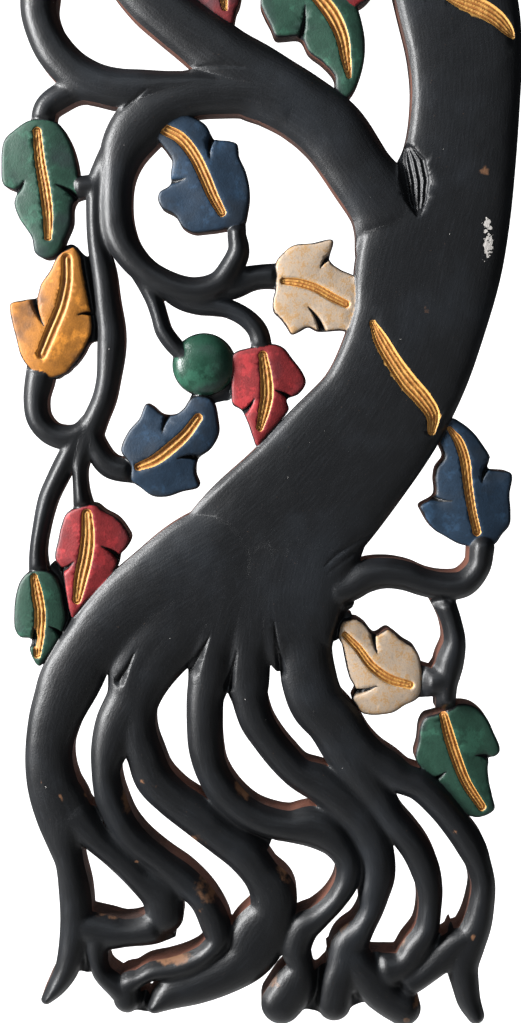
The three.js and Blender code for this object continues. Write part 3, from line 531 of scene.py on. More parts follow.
class CarvedPanelColours(bpy.types.PropertyGroup):
    """Colours of the finish"""

    stain: paint("Black stain", (0.006, 0.0065, 0.0075), "Stain on trunk, limbs and roots")
    stain_haze: paint("Hazy stain", (0.018, 0.022, 0.028), "Stain where polish has dulled")
    side: paint("Sawn side", (0.088, 0.029, 0.016), "Red-brown wood of the sides")
    side_dark: paint("Dark side", (0.012, 0.008, 0.007), "Sides where stain has run over")
    back: paint("Planed back", (0.190, 0.105, 0.058), "Bare wood of the back")
    rubbed: paint("Rubbed wood", (0.150, 0.075, 0.040), "Wood where the stain is rubbed through")
    filler: paint("White filler", (0.66, 0.62, 0.58), "Filler that shows where the stain chipped")
    green: paint("Green paint", (0.012, 0.044, 0.028), "Green leaves and the ball fruit")
    blue: paint("Blue paint", (0.009, 0.023, 0.044), "Blue leaves")
    red: paint("Red paint", (0.170, 0.012, 0.014), "Red leaves")
    maroon: paint("Maroon paint", (0.130, 0.014, 0.016), "Dark red leaf")
    amber: paint("Amber paint", (0.330, 0.125, 0.016), "Amber leaf")
    pearl: paint("Pearl paint", (0.400, 0.310, 0.230), "Pearl leaves")
    gold: paint("Gold paint", (0.620, 0.330, 0.085), "Gold in the veins and trunk marks")
    # Gold darkened towards the bottom of the grooves: painted shade.
    gold_shaded_in_grooves: paint("Deep gold", (0.300, 0.110, 0.022), "Gold at the bottom of the grooves")


class CarvedPanelStage(bpy.types.PropertyGroup):
    """Camera and studio"""

    distance: length("Camera distance", 0.90, "From the camera to the leaves' faces")
    eye_x: bpy.props.FloatProperty(
        name="Camera x", default=-0.0937, unit="LENGTH", description="Camera across the panel"
    )
    eye_z: bpy.props.FloatProperty(
        name="Camera z", default=-0.0282, unit="LENGTH", description="Camera height on the panel"
    )
    ground: bpy.props.FloatProperty(
        name="Floor", default=-2.3, unit="LENGTH", description="Floor below the fixing point"
    )
    backdrop: length("Backdrop", 3.5, "Backdrop behind the panel")


# The drawing as a relief


def smooth_line(route, spacing=2.5, closed=False):
    """Points every few squares along a smooth curve through the route's points."""
    points = np.array(route, float)
    if closed:
        points = np.vstack([points[-1], points, points[:2]])
    else:
        points = np.vstack([2 * points[0] - points[1], points, 2 * points[-1] - points[-2]])
    pieces = []
    for p0, p1, p2, p3 in zip(points, points[1:], points[2:], points[3:]):
        gap0, gap1, gap2 = (
            max(np.linalg.norm(b - a) ** 0.5, 1e-3) for a, b in ((p0, p1), (p1, p2), (p2, p3))
        )
        leave = ((p1 - p0) / gap0 - (p2 - p0) / (gap0 + gap1) + (p2 - p1) / gap1) * gap1
        reach = ((p2 - p1) / gap1 - (p3 - p1) / (gap1 + gap2) + (p3 - p2) / gap2) * gap1
        count = max(2, round(np.linalg.norm((p2 - p1)[:2]) / spacing))
        t = (np.arange(count) / count)[:, None]
        pieces.append(
            p1 + leave * t + (3 * (p2 - p1) - 2 * leave - reach) * t**2
            + (2 * (p1 - p2) + leave + reach) * t**3
        )
    if not closed:
        pieces.append(points[-2:-1])
    return np.vstack(pieces)


def clip01(values):
    return np.clip(values, 0.0, 1.0)


def ease(low, high, values):
    """0 at low, 1 at high, smooth between; low may be the greater."""
    t = clip01((values - low) / (high - low))
    return t * t * (3 - 2 * t)


class Sheet:
    """The squared sheet, with the carving's height and finish at each crossing of its lines."""

    def __init__(self):
        self.x, self.y = np.meshgrid(
            np.arange(SHEET_LEFT, SHEET_RIGHT, dtype=float),
            np.arange(SHEET_TOP, SHEET_BOTTOM, dtype=float),
        )
        shape = self.x.shape
        self.inside = np.full(shape, -BEYOND)  # squares to the nearest edge, negative outside
        self.rank = np.full(shape, -10.0)
        self.height = np.zeros(shape)
        self.leaf = np.full(shape, -1)  # number of the leaf on top, -1 for wood, -2 the fruit
        self.leaf_edge = np.zeros(shape)
        self.along = np.zeros(shape)
        self.across = np.zeros(shape)
        self.gold = np.zeros(shape)
        # Depth of the gouges, which the finish turns into painted shade on the gold.
        self.groove = np.zeros(shape)
        # Where the notches are cut; the finish leaves them dark as painted shade.
        self.cut = np.zeros(shape)

    def window(self, points, margin):
        low = np.min(points, axis=0) - margin
        high = np.max(points, axis=0) + margin
        left = int(max(low[0] - SHEET_LEFT, 0))
        top = int(max(low[1] - SHEET_TOP, 0))
        right = int(max(high[0] - SHEET_LEFT + 2, 0))
        bottom = int(max(high[1] - SHEET_TOP + 2, 0))
        return slice(top, bottom), slice(left, right)

    def lay(self, window, height, inside, leaf=-1, **finish):
        """Joins a piece to the carving: the higher surface wins, and any wood beats a margin."""
        rank = height + np.where(inside >= 0, 1.0, 0.0)
        wins = (inside > -BEYOND) & (rank > self.rank[window])
        self.rank[window] = np.where(wins, rank, self.rank[window])
        self.height[window] = np.where(wins, height, self.height[window])
        self.leaf[window] = np.where(wins, leaf, self.leaf[window])
        for name, values in finish.items():
            layer = getattr(self, name)
            layer[window] = np.where(wins, values, layer[window])
        self.inside[window] = np.maximum(self.inside[window], inside)

    def sweep(self, route, rounded=(True, True)):
        """For each square near a limb: share of the half-width, side, way along, half-width."""
        line = smooth_line(route)
        window = self.window(line[:, :2], line[:, 2].max() + BEYOND + 1)
        x, y = self.x[window], self.y[window]
        share = np.full(x.shape, 9.0)
        side, along, half = np.zeros(x.shape), np.zeros(x.shape), np.ones(x.shape)
        travelled = 0.0
        for start, end in zip(line, line[1:]):
            step = end[:2] - start[:2]
            span = float(np.hypot(*step))
            ends = np.array([start[:2], end[:2]])
            near = self.window(ends, max(start[2], end[2]) + BEYOND + 1)
            rows = slice(near[0].start - window[0].start, near[0].stop - window[0].start)
            cols = slice(near[1].start - window[1].start, near[1].stop - window[1].start)
            part = (slice(max(rows.start, 0), rows.stop), slice(max(cols.start, 0), cols.stop))
            dx, dy = x[part] - start[0], y[part] - start[1]
            place = clip01((dx * step[0] + dy * step[1]) / span**2)
            off_x, off_y = dx - place * step[0], dy - place * step[1]
            wide = start[2] + place * (end[2] - start[2])
            here = np.hypot(off_x, off_y) / wide
            better = here < share[part]
            share[part] = np.where(better, here, share[part])
            turn = np.sign(off_x * step[1] - off_y * step[0])
            side[part] = np.where(better, turn * here, side[part])
            along[part] = np.where(better, travelled + place * span, along[part])
            half[part] = np.where(better, wide, half[part])
            travelled += span
        for is_round, tip, before, way in (
            (rounded[0], line[0], line[1], along),
            (rounded[1], line[-1], line[-2], travelled - along),
        ):
            if not is_round:
                past = (x - tip[0]) * (tip[0] - before[0]) + (y - tip[1]) * (tip[1] - before[1]) > 0
                share[past & (way < 1.5 * tip[2])] = 9.0
        return window, share, side, along, half

    def edge_distance(self, outline):
        """Squares to the outline's nearest edge, negative outside it."""
        line = smooth_line(outline, closed=True)
        window = self.window(line, BEYOND + 1)
        x, y = self.x[window], self.y[window]
        nearest = np.full(x.shape, 1e9)
        crossings = np.zeros(x.shape, int)
        for (ax, ay), (bx, by) in zip(line, np.roll(line, -1, axis=0)):
            dx, dy = bx - ax, by - ay
            place = clip01(((x - ax) * dx + (y - ay) * dy) / max(dx * dx + dy * dy, 1e-9))
            nearest = np.minimum(nearest, np.hypot(x - ax - place * dx, y - ay - place * dy))
            if ay != by:
                spans = (y >= min(ay, by)) & (y < max(ay, by))
                crossings += spans & (x < ax + (y - ay) * dx / dy)
        return window, np.where(crossings % 2 == 1, nearest, -nearest)


def on_route(route, points):
    """Whether each point lies on the limb along a route."""
    route = np.array(route, float)
    held = np.zeros(len(points), bool)
    for start, end in zip(route, route[1:]):
        step = end[:2] - start[:2]
        place = clip01((points - start[:2]) @ step / (step @ step))
        off = points - start[:2] - place[:, None] * step
        held |= np.hypot(off[:, 0], off[:, 1]) < start[2] + place * (end[2] - start[2])
    return held


def within(outline, points):
    """Whether each point lies inside an outline."""
    outline = np.array(outline, float)
    x, y = points.T
    inside = np.zeros(len(points), bool)
    for (ax, ay), (bx, by) in zip(outline, np.roll(outline, -1, axis=0)):
        if ay != by:
            inside ^= ((ay > y) != (by > y)) & (x < ax + (y - ay) * (bx - ax) / (by - ay))
    return inside


def covered_by_another(own, points):
    """Whether a piece other than the named one lies at each point of the drawing."""
    covered = np.zeros(len(points), bool)
    for name, route in {**TRUNK, **LIMBS, **STEMS, **ROOTS}.items():
        if name != own:
            covered |= on_route(route, points)
    outlines = {**WEBS, **{name: leaf["outline"] for name, leaf in LEAVES.items()}}
    for name, outline in outlines.items():
        if name != own:
            covered |= within(outline, points)
    return covered


def edge_shifts(own, points, normals, wall, view):
    """Squares by which edges stand further out along their normals than they are drawn."""
    face, distance = view
    outwards = ((points - np.array(EYE)) * normals).sum(axis=1)
    hidden = covered_by_another(own, points + normals * GAP_PROBE)
    seen_height = np.where((outwards < 0) & ~hidden, 0.0, wall)
    shift = outwards * (face - seen_height) / distance
    return np.where(points[:, 1] < SEEN_FROM, 0.0, shift)


def headings(route):
    """The direction of a route at each of its points."""
    ends = np.vstack([route[:1], route, route[-1:]])
    steps = ends[2:, :2] - ends[:-2, :2]
    return steps / np.linalg.norm(steps, axis=1)[:, None]


def standing_route(name, route, wall, view):
    """A limb's drawn route put back: each edge by itself, a round tip along its heading."""
    route = np.array(route, float)
    heading = headings(route)
    left = np.stack([heading[:, 1], -heading[:, 0]], axis=1)
    middle, half = route[:, :2], route[:, 2:]
    left_shift = edge_shifts(name, middle + left * half, left, wall, view)
    right_shift = edge_shifts(name, middle - left * half, -left, wall, view)
    moved = middle + left * ((left_shift - right_shift) / 2)[:, None]
    if name in ROUND_TIPS:
        onwards = edge_shifts(name, middle[-1:], heading[-1:], wall, view)[0]
        moved[-1] += heading[-1] * onwards
    return np.hstack([moved, half + ((left_shift + right_shift) / 2)[:, None]])


def standing_outline(name, outline, wall, view):
    """A drawn outline put back, each point along its own outward normal."""
    points = np.array(outline, float)
    before, after = np.roll(points, 1, axis=0), np.roll(points, -1, axis=0)
    area = (points[:, 0] * after[:, 1] - after[:, 0] * points[:, 1]).sum() / 2
    normals = np.stack([(after - before)[:, 1], (before - after)[:, 0]], axis=1)
    normals *= np.sign(area) / np.linalg.norm(normals, axis=1)[:, None]
    return points + normals * edge_shifts(name, points, normals, wall, view)[:, None]


def placed_leaves():
    """Every leaf's drawing by name, with the crown's repeated leaves put in their places."""
    leaves = dict(LEAVES)
    for name, repeat in REPEATED_LEAVES.items():
        turn = math.radians(repeat["turn"])
        cos, sin = math.cos(turn) * repeat["scale"], math.sin(turn) * repeat["scale"]

        def place(point):
            dx, dy = point[0] - repeat["from"][0], point[1] - repeat["from"][1]
            moved = [repeat["to"][0] + dx * cos - dy * sin, repeat["to"][1] + dx * sin + dy * cos]
            return moved + [half * repeat["scale"] for half in point[2:]]

        like = LEAVES[repeat["like"]]
        leaves[name] = {
            "outline": [place(point) for point in like["outline"]],
            "vein": [place(point) for point in like["vein"]],
            "notches": [[place(point) for point in ends] for ends in like["notches"]],
        }
    return leaves


def flutes(share, count):
    """Depth, 0 to 1, of parallel grooves across a band, from its edges at share -1 and 1."""
    place = (clip01((share + 1) / 2) * count) % 1.0 * 2 - 1
    return 0.3 + 0.7 * np.sqrt(clip01(1 - place * place))


def tool_waves(shape, spacing, seed):
    """Smooth unevenness from -1 to 1, with swells about spacing squares apart."""
    rows, cols = shape[0] // spacing + 4, shape[1] // spacing + 4
    knots = np.random.default_rng(seed).uniform(-1, 1, (rows, cols))
    row, col = np.arange(shape[0]) / spacing, np.arange(shape[1]) / spacing
    i, j = row.astype(int), col.astype(int)
    s, t = ease(0, 1, row - i)[:, None], ease(0, 1, col - j)[None, :]
    i, j = i[:, None], j[None, :]
    upper = knots[i, j] * (1 - t) + knots[i, j + 1] * t
    lower = knots[i + 1, j] * (1 - t) + knots[i + 1, j + 1] * t
    return upper * (1 - s) + lower * s


def soften(height):
    """Takes the harshness off the steps where pieces meet."""
    padded = np.pad(height, 1, mode="edge")
    near = padded[:-2, 1:-1] + padded[2:, 1:-1] + padded[1:-1, :-2] + padded[1:-1, 2:]
    return height * 0.5 + near * 0.125


def lay_wood(sheet, sizes, view):
    """Trunk, limbs, stems, roots and the low webs between them."""
    groups = [
        (TRUNK, sizes.limb_wall, sizes.crest, 3.0),
        ({**LIMBS, **ROOTS}, sizes.limb_wall, sizes.crest, 2.0),
        (STEMS, sizes.stem_wall, sizes.stem_crest, 2.0),
    ]
    for name, outline in WEBS.items():
        window, inside = sheet.edge_distance(standing_outline(name, outline, sizes.web, view))
        sheet.lay(window, np.full(inside.shape, sizes.web), inside)
    for routes, wall, crest, power in groups:
        for name, drawn in routes.items():
            route = standing_route(name, drawn, wall, view)
            is_tip = name in ROUND_TIPS
            window, share, side, along, half = sheet.sweep(route, (False, is_tip))
            rise = (crest - wall) * np.minimum(1, half / route[:, 2].min())
            rise *= ease(0, SINK, along / half)
            if not is_tip:
                rise *= ease(0, SINK, (along[share < 1].max() - along) / half)
            height = wall + rise * (1 - clip01(share) ** power) ** (1 / power)
            sheet.lay(window, height, (1 - share) * half, along=along, across=side * half)
    x, y, radius = FRUIT
    window = sheet.window(np.array([[x, y]]), radius + BEYOND + 1)
    out = np.hypot(sheet.x[window] - x, sheet.y[window] - y) / radius
    dome = sizes.fruit_wall + (sizes.fruit_crest - sizes.fruit_wall) * np.sqrt(clip01(1 - out**2))
    sheet.lay(window, dome, (1 - out) * radius, leaf=-2, leaf_edge=(1 - out) * radius)


def blend_wood(sheet, passes):
    """Runs the limbs into one another where they meet, as carving does."""
    known = (sheet.inside > -BEYOND).astype(float)
    total, weight = sheet.height * known, known
    for _ in range(passes):
        total, weight = soften(total), soften(weight)
    height = total / np.maximum(weight, 1e-6)
    fruit = sheet.leaf == -2
    sheet.height = np.where(fruit | (known == 0), sheet.height, height)
    sheet.rank = np.where(known > 0, sheet.height + (sheet.inside >= 0), sheet.rank)


def smooth_foot(sheet):
    """Evens out the trunk's foot, where the first roots leave it without a crease."""
    x, y, full, gone = TRUNK_FOOT
    window = sheet.window(np.array([[x, y]]), gone)
    smooth = sheet.height[window]
    for _ in range(FOOT_PASSES):
        smooth = soften(smooth)
    away = np.hypot(sheet.x[window] - x, sheet.y[window] - y)
    share = ease(gone, full, away) * ease(*FOOT_RIM, sheet.inside[window])
    sheet.height[window] += share * (smooth - sheet.height[window])


def lay_leaves(sheet, sizes, leaves, view):
    """The leaves' plates, rounded over at the edge, falling away on both sides of the vein."""
    for number, (name, leaf) in enumerate(leaves.items()):
        outline = leaf["outline"]
        if name in LEAVES:
            outline = standing_outline(name, outline, sizes.leaf_face - sizes.leaf_drop, view)
        window, inside = sheet.edge_distance(outline)
        x, y = sheet.x[window], sheet.y[window]
        vein = smooth_line(leaf["vein"], 6.0)
        off = np.min([np.hypot(x - px, y - py) for px, py, _ in vein], axis=0)
        over = clip01(1 - inside / LEAF_ROUNDING)
        beyond = np.maximum(inside - LEAF_ROUNDING, 0)
        crown = sizes.leaf_crown * (1 - np.exp(-beyond / LEAF_CROWN_REACH))
        crown -= sizes.leaf_fall * ease(*LEAF_FALL_REACH, off)
        crown += LEAF_LIFT.get(name, 0.0)
        height = sizes.leaf_face - sizes.leaf_drop * (1 - np.sqrt(1 - over**2)) + crown
        sheet.lay(window, height, inside, leaf=number, leaf_edge=inside)


def cut_leaves(sheet, sizes, leaves):
    """Gouges each leaf's vein and cuts the notches between its lobes."""
    for number, (name, leaf) in enumerate(leaves.items()):
        window, share, side, along, half = sheet.sweep(leaf["vein"])
        share, side = share / VEIN_TRIM, side / VEIN_TRIM
        own = sheet.leaf[window] == number
        depth = flutes(side, VEIN_GROOVES.get(name, USUAL_GROOVES)) * ease(1.02, 0.8, share)
        sheet.height[window] -= np.where(own, sizes.vein_depth * depth, 0)
        sheet.groove[window] = np.where(own & (share < 1.1), depth, sheet.groove[window])
        gold = ease(1.0, 0.86, share)
        sheet.gold[window] = np.where(own, np.maximum(gold, sheet.gold[window]), sheet.gold[window])
        for edge, tip in leaf["notches"]:
            edge, tip = np.array(edge, float), np.array(tip, float)
            inward = (tip - edge) / np.linalg.norm(tip - edge)
            mouth = edge - inward * NOTCH_START
            reach = float(np.linalg.norm(tip - mouth))
            window = sheet.window(np.array([mouth, tip]), 10)
            dx, dy = sheet.x[window] - tip[0], sheet.y[window] - tip[1]
            way = -(dx * inward[0] + dy * inward[1]) / reach
            aside = dx * inward[1] - dy * inward[0] + NOTCH_BOW * np.sin(math.pi * clip01(way))
            wide = NOTCH_TIP + NOTCH_GAIN * clip01(way)
            lean = np.where(aside > 0, NOTCH_STEEP, NOTCH_GENTLE)
            slope = clip01(1 - np.abs(aside) * lean / wide) * (way > 0) * (way < 1.2)
            own = sheet.leaf[window] == number
            sheet.height[window] -= np.where(own, sizes.notch_depth * slope * clip01(way * 1.6), 0)
            cut = sheet.cut[window]
            sheet.cut[window] = np.where(own, np.maximum(cut, slope), cut)
            gold = sheet.gold[window]
            sheet.gold[window] = np.where(own, gold * (1 - ease(0.1, 0.5, slope)), gold)


def cut_wood(sheet, sizes):
    """The gilded marks on the trunk, the grooves beside forks and the fluted hollow."""
    for route in TRUNK_MARKS:
        window, share, side, along, half = sheet.sweep(route)
        wood = sheet.leaf[window] == -1
        depth = flutes(side, MARK_GROOVES) * ease(1.02, 0.75, share)
        sheet.height[window] -= np.where(wood, sizes.vein_depth * MARK_DEPTH * depth, 0)
        sheet.groove[window] = np.where(wood & (share < 1.1), depth, sheet.groove[window])
        sheet.gold[window] = np.where(wood, ease(1.1, 0.95, share), sheet.gold[window])
    for route, strength in GOUGES:
        window, share, side, along, half = sheet.sweep(route)
        wood = sheet.leaf[window] == -1
        depth = strength * sizes.gouge_depth * clip01(half / 5) * clip01(1 - share)
        sheet.height[window] -= np.where(wood, depth, 0)
    left, right = np.array(FORK_LEFT, float), np.array(FORK_RIGHT, float)
    window = sheet.window(np.vstack([left, right]), 2)
    x, y = sheet.x[window], sheet.y[window]
    from_x = np.interp(y, left[:, 1], left[:, 0])
    wide = np.maximum(np.interp(y, right[:, 1], right[:, 0]) - from_x, 0.5)
    place = (x - from_x) / wide
    held = (place > -0.3) & (place < 1) & (y > left[0, 1]) & (y < left[-1, 1])
    deep = ease(0, 6, y - left[0, 1]) * ease(0, 14, left[-1, 1] - y)
    ribs = np.abs(np.sin(math.pi * FORK_FLUTES * np.clip(place, 0, 1)))
    depth = (0.9 * (1 - clip01(place)) + 0.25 + 0.45 * ribs) * ease(-0.3, 0.0, place)
    sheet.height[window] -= np.where(held, sizes.gouge_depth * deep * depth, 0)


def carve(sizes, stage):
    """The finished relief."""
    sheet = Sheet()
    leaves = placed_leaves()
    view = (sizes.leaf_face, stage.distance)
    lay_wood(sheet, sizes, view)
    blend_wood(sheet, BLEND_PASSES)
    smooth_foot(sheet)
    lay_leaves(sheet, sizes, leaves, view)
    sheet.height = soften(sheet.height)
    waves = sum(
        share * tool_waves(sheet.x.shape, spacing, seed) for share, spacing, seed in TOOL_WAVES
    )
    sheet.height += sizes.tool_wave * waves * ease(0, 6, sheet.inside)
    cut_leaves(sheet, sizes, leaves)
    cut_wood(sheet, sizes)
    return sheet


# Meshing


def relief_mesh(sheet, square):
    """The carved face with its upright sides, open at the back: points, faces and sides."""
    solid = sheet.inside > 0
    rows, cols = solid.shape
    height = sheet.height
    depth = sheet.inside
    numbers = np.full((rows, cols), -1)
    numbers[solid] = np.arange(solid.sum())
    points = [np.stack([sheet.x[solid], sheet.y[solid], height[solid]], axis=1)]
    total = int(solid.sum())
    edges = []
    for down, right in ((0, 1), (1, 0)):
        here = (slice(0, rows - down), slice(0, cols - right))
        there = (slice(down, rows), slice(right, cols))
        crossed = solid[here] != solid[there]
        level = depth[here][crossed] / (depth[here][crossed] - depth[there][crossed])
        level = np.clip(level, CORNER_GAP, 1 - CORNER_GAP)
        mixed = [
            layer[here][crossed] * (1 - level) + layer[there][crossed] * level
            for layer in (sheet.x, sheet.y, height)
        ]
        points.append(np.stack(mixed, axis=1))
        index = np.full((rows, cols), -1)
        index[here][crossed] = total + np.arange(crossed.sum())
        edges.append(index)
        total += int(crossed.sum())
    points = np.vstack(points)

    corner = [numbers[:-1, :-1], numbers[:-1, 1:], numbers[1:, 1:], numbers[1:, :-1]]
    side = [edges[0][:-1, :-1], edges[1][:-1, 1:], edges[0][1:, :-1], edges[1][:-1, :-1]]
    code = sum((c >= 0).astype(int) << k for k, c in enumerate(corner))
    faces, rims = [], []
    for case in range(1, 16):
        cells = code == case
        walk = []
        for k in range(4):
            now, following = case >> k & 1, case >> (k + 1) % 4 & 1
            if now:
                walk.append((corner[k][cells], False))
            if now != following:
                walk.append((side[k][cells], True))
        faces.append(np.stack([ids for ids, _ in reversed(walk)], axis=1))
        for (a, a_cut), (b, b_cut) in zip(walk, walk[1:] + walk[:1]):
            if a_cut and b_cut and len(walk) > 2:
                rims.append(np.stack([a, b], axis=1))
    rim = np.vstack(rims)
    rim_points, back = np.unique(rim, return_inverse=True)
    behind = points[rim_points].copy()
    behind[:, 2] = 0
    back = back.reshape(rim.shape) + len(points)
    walls = np.stack([rim[:, 0], rim[:, 1], back[:, 1], back[:, 0]], axis=1)
    points = np.vstack([points, behind])
    placed = np.stack(
        [(points[:, 0] - FIXING[0]) * square, -points[:, 2], (FIXING[1] - points[:, 1]) * square],
        axis=1,
    )
    return placed, faces, walls


def mesh_from_arrays(name, points, faces, walls):
    groups = [*faces, walls]
    corners = np.concatenate([group.ravel() for group in groups])
    counts = np.concatenate([np.full(len(group), group.shape[1]) for group in groups])
    starts = np.concatenate([[0], np.cumsum(counts)[:-1]])
    mesh = bpy.data.meshes.new(name)
    mesh.vertices.add(len(points))
    mesh.vertices.foreach_set("co", points.astype(np.float32).ravel())
    mesh.loops.add(len(corners))
    mesh.loops.foreach_set("vertex_index", corners.astype(np.int32))
    mesh.polygons.add(len(counts))
    mesh.polygons.foreach_set("loop_start", starts.astype(np.int32))
    finish = np.full(len(counts), FACE, np.int32)
    finish[-len(walls):] = SIDE
    mesh.polygons.foreach_set("material_index", finish)
    mesh.update(calc_edges=True)
    return mesh


def thin_out(thing, faces):
    """Merges needless small faces until about that many triangles are left."""
    triangles = sum(len(p.vertices) - 2 for p in thing.data.polygons)
    modifier = thing.modifiers.new("thin_out", "DECIMATE")
    modifier.ratio = min(1.0, faces / triangles)
    evaluated = thing.evaluated_get(bpy.context.evaluated_depsgraph_get())
    mesh = bpy.data.meshes.new_from_object(evaluated)
    thing.modifiers.clear()
    thing.data = mesh


def close_back(mesh):
    """Fills the open back with flat faces in the wall's plane."""
    work = bmesh.new()
    work.from_mesh(mesh)
    rim = [edge for edge in work.edges if edge.is_boundary]
    for edge in rim:
        edge.smooth = False
        for vertex in edge.verts:
            vertex.co.y = 0.0
    filled = bmesh.ops.triangle_fill(work, use_beauty=True, edges=rim, normal=(0.0, 1.0, 0.0))
    for item in filled["geom"]:
        if isinstance(item, bmesh.types.BMFace):
            item.material_index = BACK
            item.smooth = False
    for face in work.faces:
        if face.material_index != BACK:
            face.smooth = True
    for edge in work.edges:
        if len({face.material_index for face in edge.link_faces}) > 1:
            edge.smooth = False
    bmesh.ops.recalc_face_normals(work, faces=work.faces)
    work.to_mesh(mesh)
    work.free()


def sample(layer, column, row, nearest=False):
    """A sheet's layer at fractional rows and columns."""
    if nearest:
        i = np.clip(np.rint(row).astype(int), 0, layer.shape[0] - 1)
        j = np.clip(np.rint(column).astype(int), 0, layer.shape[1] - 1)
        return layer[i, j]
    i = np.clip(row.astype(int), 0, layer.shape[0] - 2)
    j = np.clip(column.astype(int), 0, layer.shape[1] - 2)
    s, t = row - i, column - j
    upper = layer[i, j] * (1 - t) + layer[i, j + 1] * t
    lower = layer[i + 1, j] * (1 - t) + layer[i + 1, j + 1] * t
    return upper * (1 - s) + lower * s


def ovals(x, y, table):
    """1 in the middle of each oval [x, y, across, down, strength], fading to 0 past its edge."""
    total = np.zeros(x.shape)
    for middle_x, middle_y, across, down, strength in table:
        out = ((x - middle_x) / across) ** 2 + ((y - middle_y) / down) ** 2
        total = np.maximum(total, strength * np.exp(-0.9 * out))
    return total


def store_finish(mesh, sheet, square, colours):
    """Writes the masks and paints that the material reads onto the mesh's points."""
    count = len(mesh.vertices)
    points = np.empty(count * 3, np.float32)
    mesh.vertices.foreach_get("co", points)
    points = points.reshape(-1, 3).astype(float)
    x = points[:, 0] / square + FIXING[0]
    y = FIXING[1] - points[:, 2] / square
    column, row = x - SHEET_LEFT, y - SHEET_TOP

    names = list(placed_leaves())
    paints = np.array([getattr(colours, LEAF_PAINT[name])[:] for name in names])
    paints = np.vstack([paints, [colours.green[:]], [colours.stain[:]]])
    leaf = sample(sheet.leaf, column, row, nearest=True)
    rgba = np.ones((count, 4), np.float32)
    rgba[:, :3] = paints[leaf]
    layers = {
        "leaf": sample((sheet.leaf != -1).astype(float), column, row),
        "fruit": sample((sheet.leaf == -2).astype(float), column, row),
        "pearl": np.isin(leaf, [i for i, n in enumerate(names) if LEAF_PAINT[n] == "pearl"]),
        "leaf_edge": sample(sheet.leaf_edge, column, row, nearest=True),
        "gold": sample(sheet.gold, column, row),
        "groove": sample(sheet.groove, column, row),
        "cut": sample(sheet.cut, column, row),
        "rubbed": ovals(x, y, RUBBED),
        "chipped": ovals(x, y, [oval + [1.0] for oval in CHIPPED]),
    }
    for name, values in layers.items():
        attribute = mesh.attributes.new(name, "FLOAT", "POINT")
        attribute.data.foreach_set("value", np.asarray(values, np.float32))
    flow = np.zeros((count, 3), np.float32)
    flow[:, 0] = sample(sheet.along, column, row, nearest=True) * square
    flow[:, 1] = sample(sheet.across, column, row, nearest=True) * square
    attribute = mesh.attributes.new("flow", "FLOAT_VECTOR", "POINT")
    attribute.data.foreach_set("vector", flow.ravel())
    attribute = mesh.attributes.new("paint", "FLOAT_COLOR", "POINT")
    attribute.data.foreach_set("color", rgba.ravel())


# Finishes


class Mask:
    """A number that varies over the surface; Python's operators add the Math nodes."""

    def __init__(self, finish, socket):
        self.finish, self.socket = finish, socket

    def _math(self, operation, *values):
        node = self.finish.node("ShaderNodeMath", {"operation": operation}, *values)
        return Mask(self.finish, node.outputs[0])

    def __add__(self, other):
        return self._math("ADD", self, other)

    def __sub__(self, other):
        return self._math("SUBTRACT", self, other)

    def __rsub__(self, other):
        return self._math("SUBTRACT", other, self)

    def __mul__(self, other):
        return self._math("MULTIPLY", self, other)

    __radd__ = __add__
    __rmul__ = __mul__

    def most(self, other):
        return self._math("MAXIMUM", self, other)

    def step(self, low, high):
        """0 below low, 1 above high, smooth between; low may be the greater."""
        settings = {"interpolation_type": "SMOOTHSTEP"}
        node = self.finish.node("ShaderNodeMapRange", settings, self, low, high, 0.0, 1.0)
        return Mask(self.finish, node.outputs[0])


class Finish:
    """A material under construction."""

    def __init__(self, name):
        self.material = bpy.data.materials.new(name)
        self.material.use_nodes = True
        self.tree = self.material.node_tree
        self.tree.nodes.clear()

    def node(self, kind, settings, *inputs, **named):
        """Adds a node: its settings first, then values or links for its sockets."""
        node = self.tree.nodes.new(kind)
        for name, value in settings.items():
            if name == "stops":
                ramp = node.color_ramp.elements
                while len(ramp) < len(value):
                    ramp.new(0.5)
                for element, (place, colour) in zip(ramp, value):
                    element.position, element.color = place, (*colour, 1.0)
            else:
                setattr(node, name, value)
        for key, value in [*enumerate(inputs), *named.items()]:
            socket = node.inputs[key if isinstance(key, int) else key.replace("_", " ")]
            if isinstance(value, Mask):
                self.tree.links.new(value.socket, socket)
            elif isinstance(value, bpy.types.NodeSocket):
                self.tree.links.new(value, socket)
            elif value is not None:
                socket.default_value = value
        return node

    def mask(self, name):
        return Mask(self, self.node("ShaderNodeAttribute", {"attribute_name": name}).outputs["Fac"])

    def noise(self, place, scale, detail=2.0, roughness=0.5):
        node = self.node(
            "ShaderNodeTexNoise", {}, Vector=place, Scale=scale, Detail=detail, Roughness=roughness
        )
        return Mask(self, node.outputs["Fac"])

    def stretched(self, place, scale):
        """The place with each of its directions scaled, for noise drawn out one way."""
        node = self.node("ShaderNodeVectorMath", {"operation": "MULTIPLY"}, place, scale)
        return node.outputs[0]

    def mix(self, share, first, second):
        """Colour between first, at 0, and second, at 1."""
        node = self.node("ShaderNodeMix", {"data_type": "RGBA"})
        for key, value in ((0, share), (6, first), (7, second)):
            if isinstance(value, Mask):
                self.tree.links.new(value.socket, node.inputs[key])
            elif isinstance(value, bpy.types.NodeSocket):
                self.tree.links.new(value, node.inputs[key])
            elif key:
                node.inputs[key].default_value = (*value, 1.0)
            else:
                node.inputs[key].default_value = value
        return node.outputs[2]

    def tint(self, colour, factor):
        """A colour made darker or lighter by a mask."""
        node = self.node("ShaderNodeVectorMath", {"operation": "SCALE"}, colour, Scale=factor)
        return node.outputs[0]

    def surface(self, colour, roughness, bump, bump_distance, specular=0.5, bump_strength=1.0):
        normal = self.node(
            "ShaderNodeBump", {}, Strength=bump_strength, Distance=bump_distance, Height=bump
        )
        shader = self.node(
            "ShaderNodeBsdfPrincipled", {}, Base_Color=colour, Roughness=roughness,
            Normal=normal.outputs[0],
        )
        shader.inputs["Specular IOR Level"].default_value = specular
        self.node("ShaderNodeOutputMaterial", {}, shader.outputs[0])
        return self.material


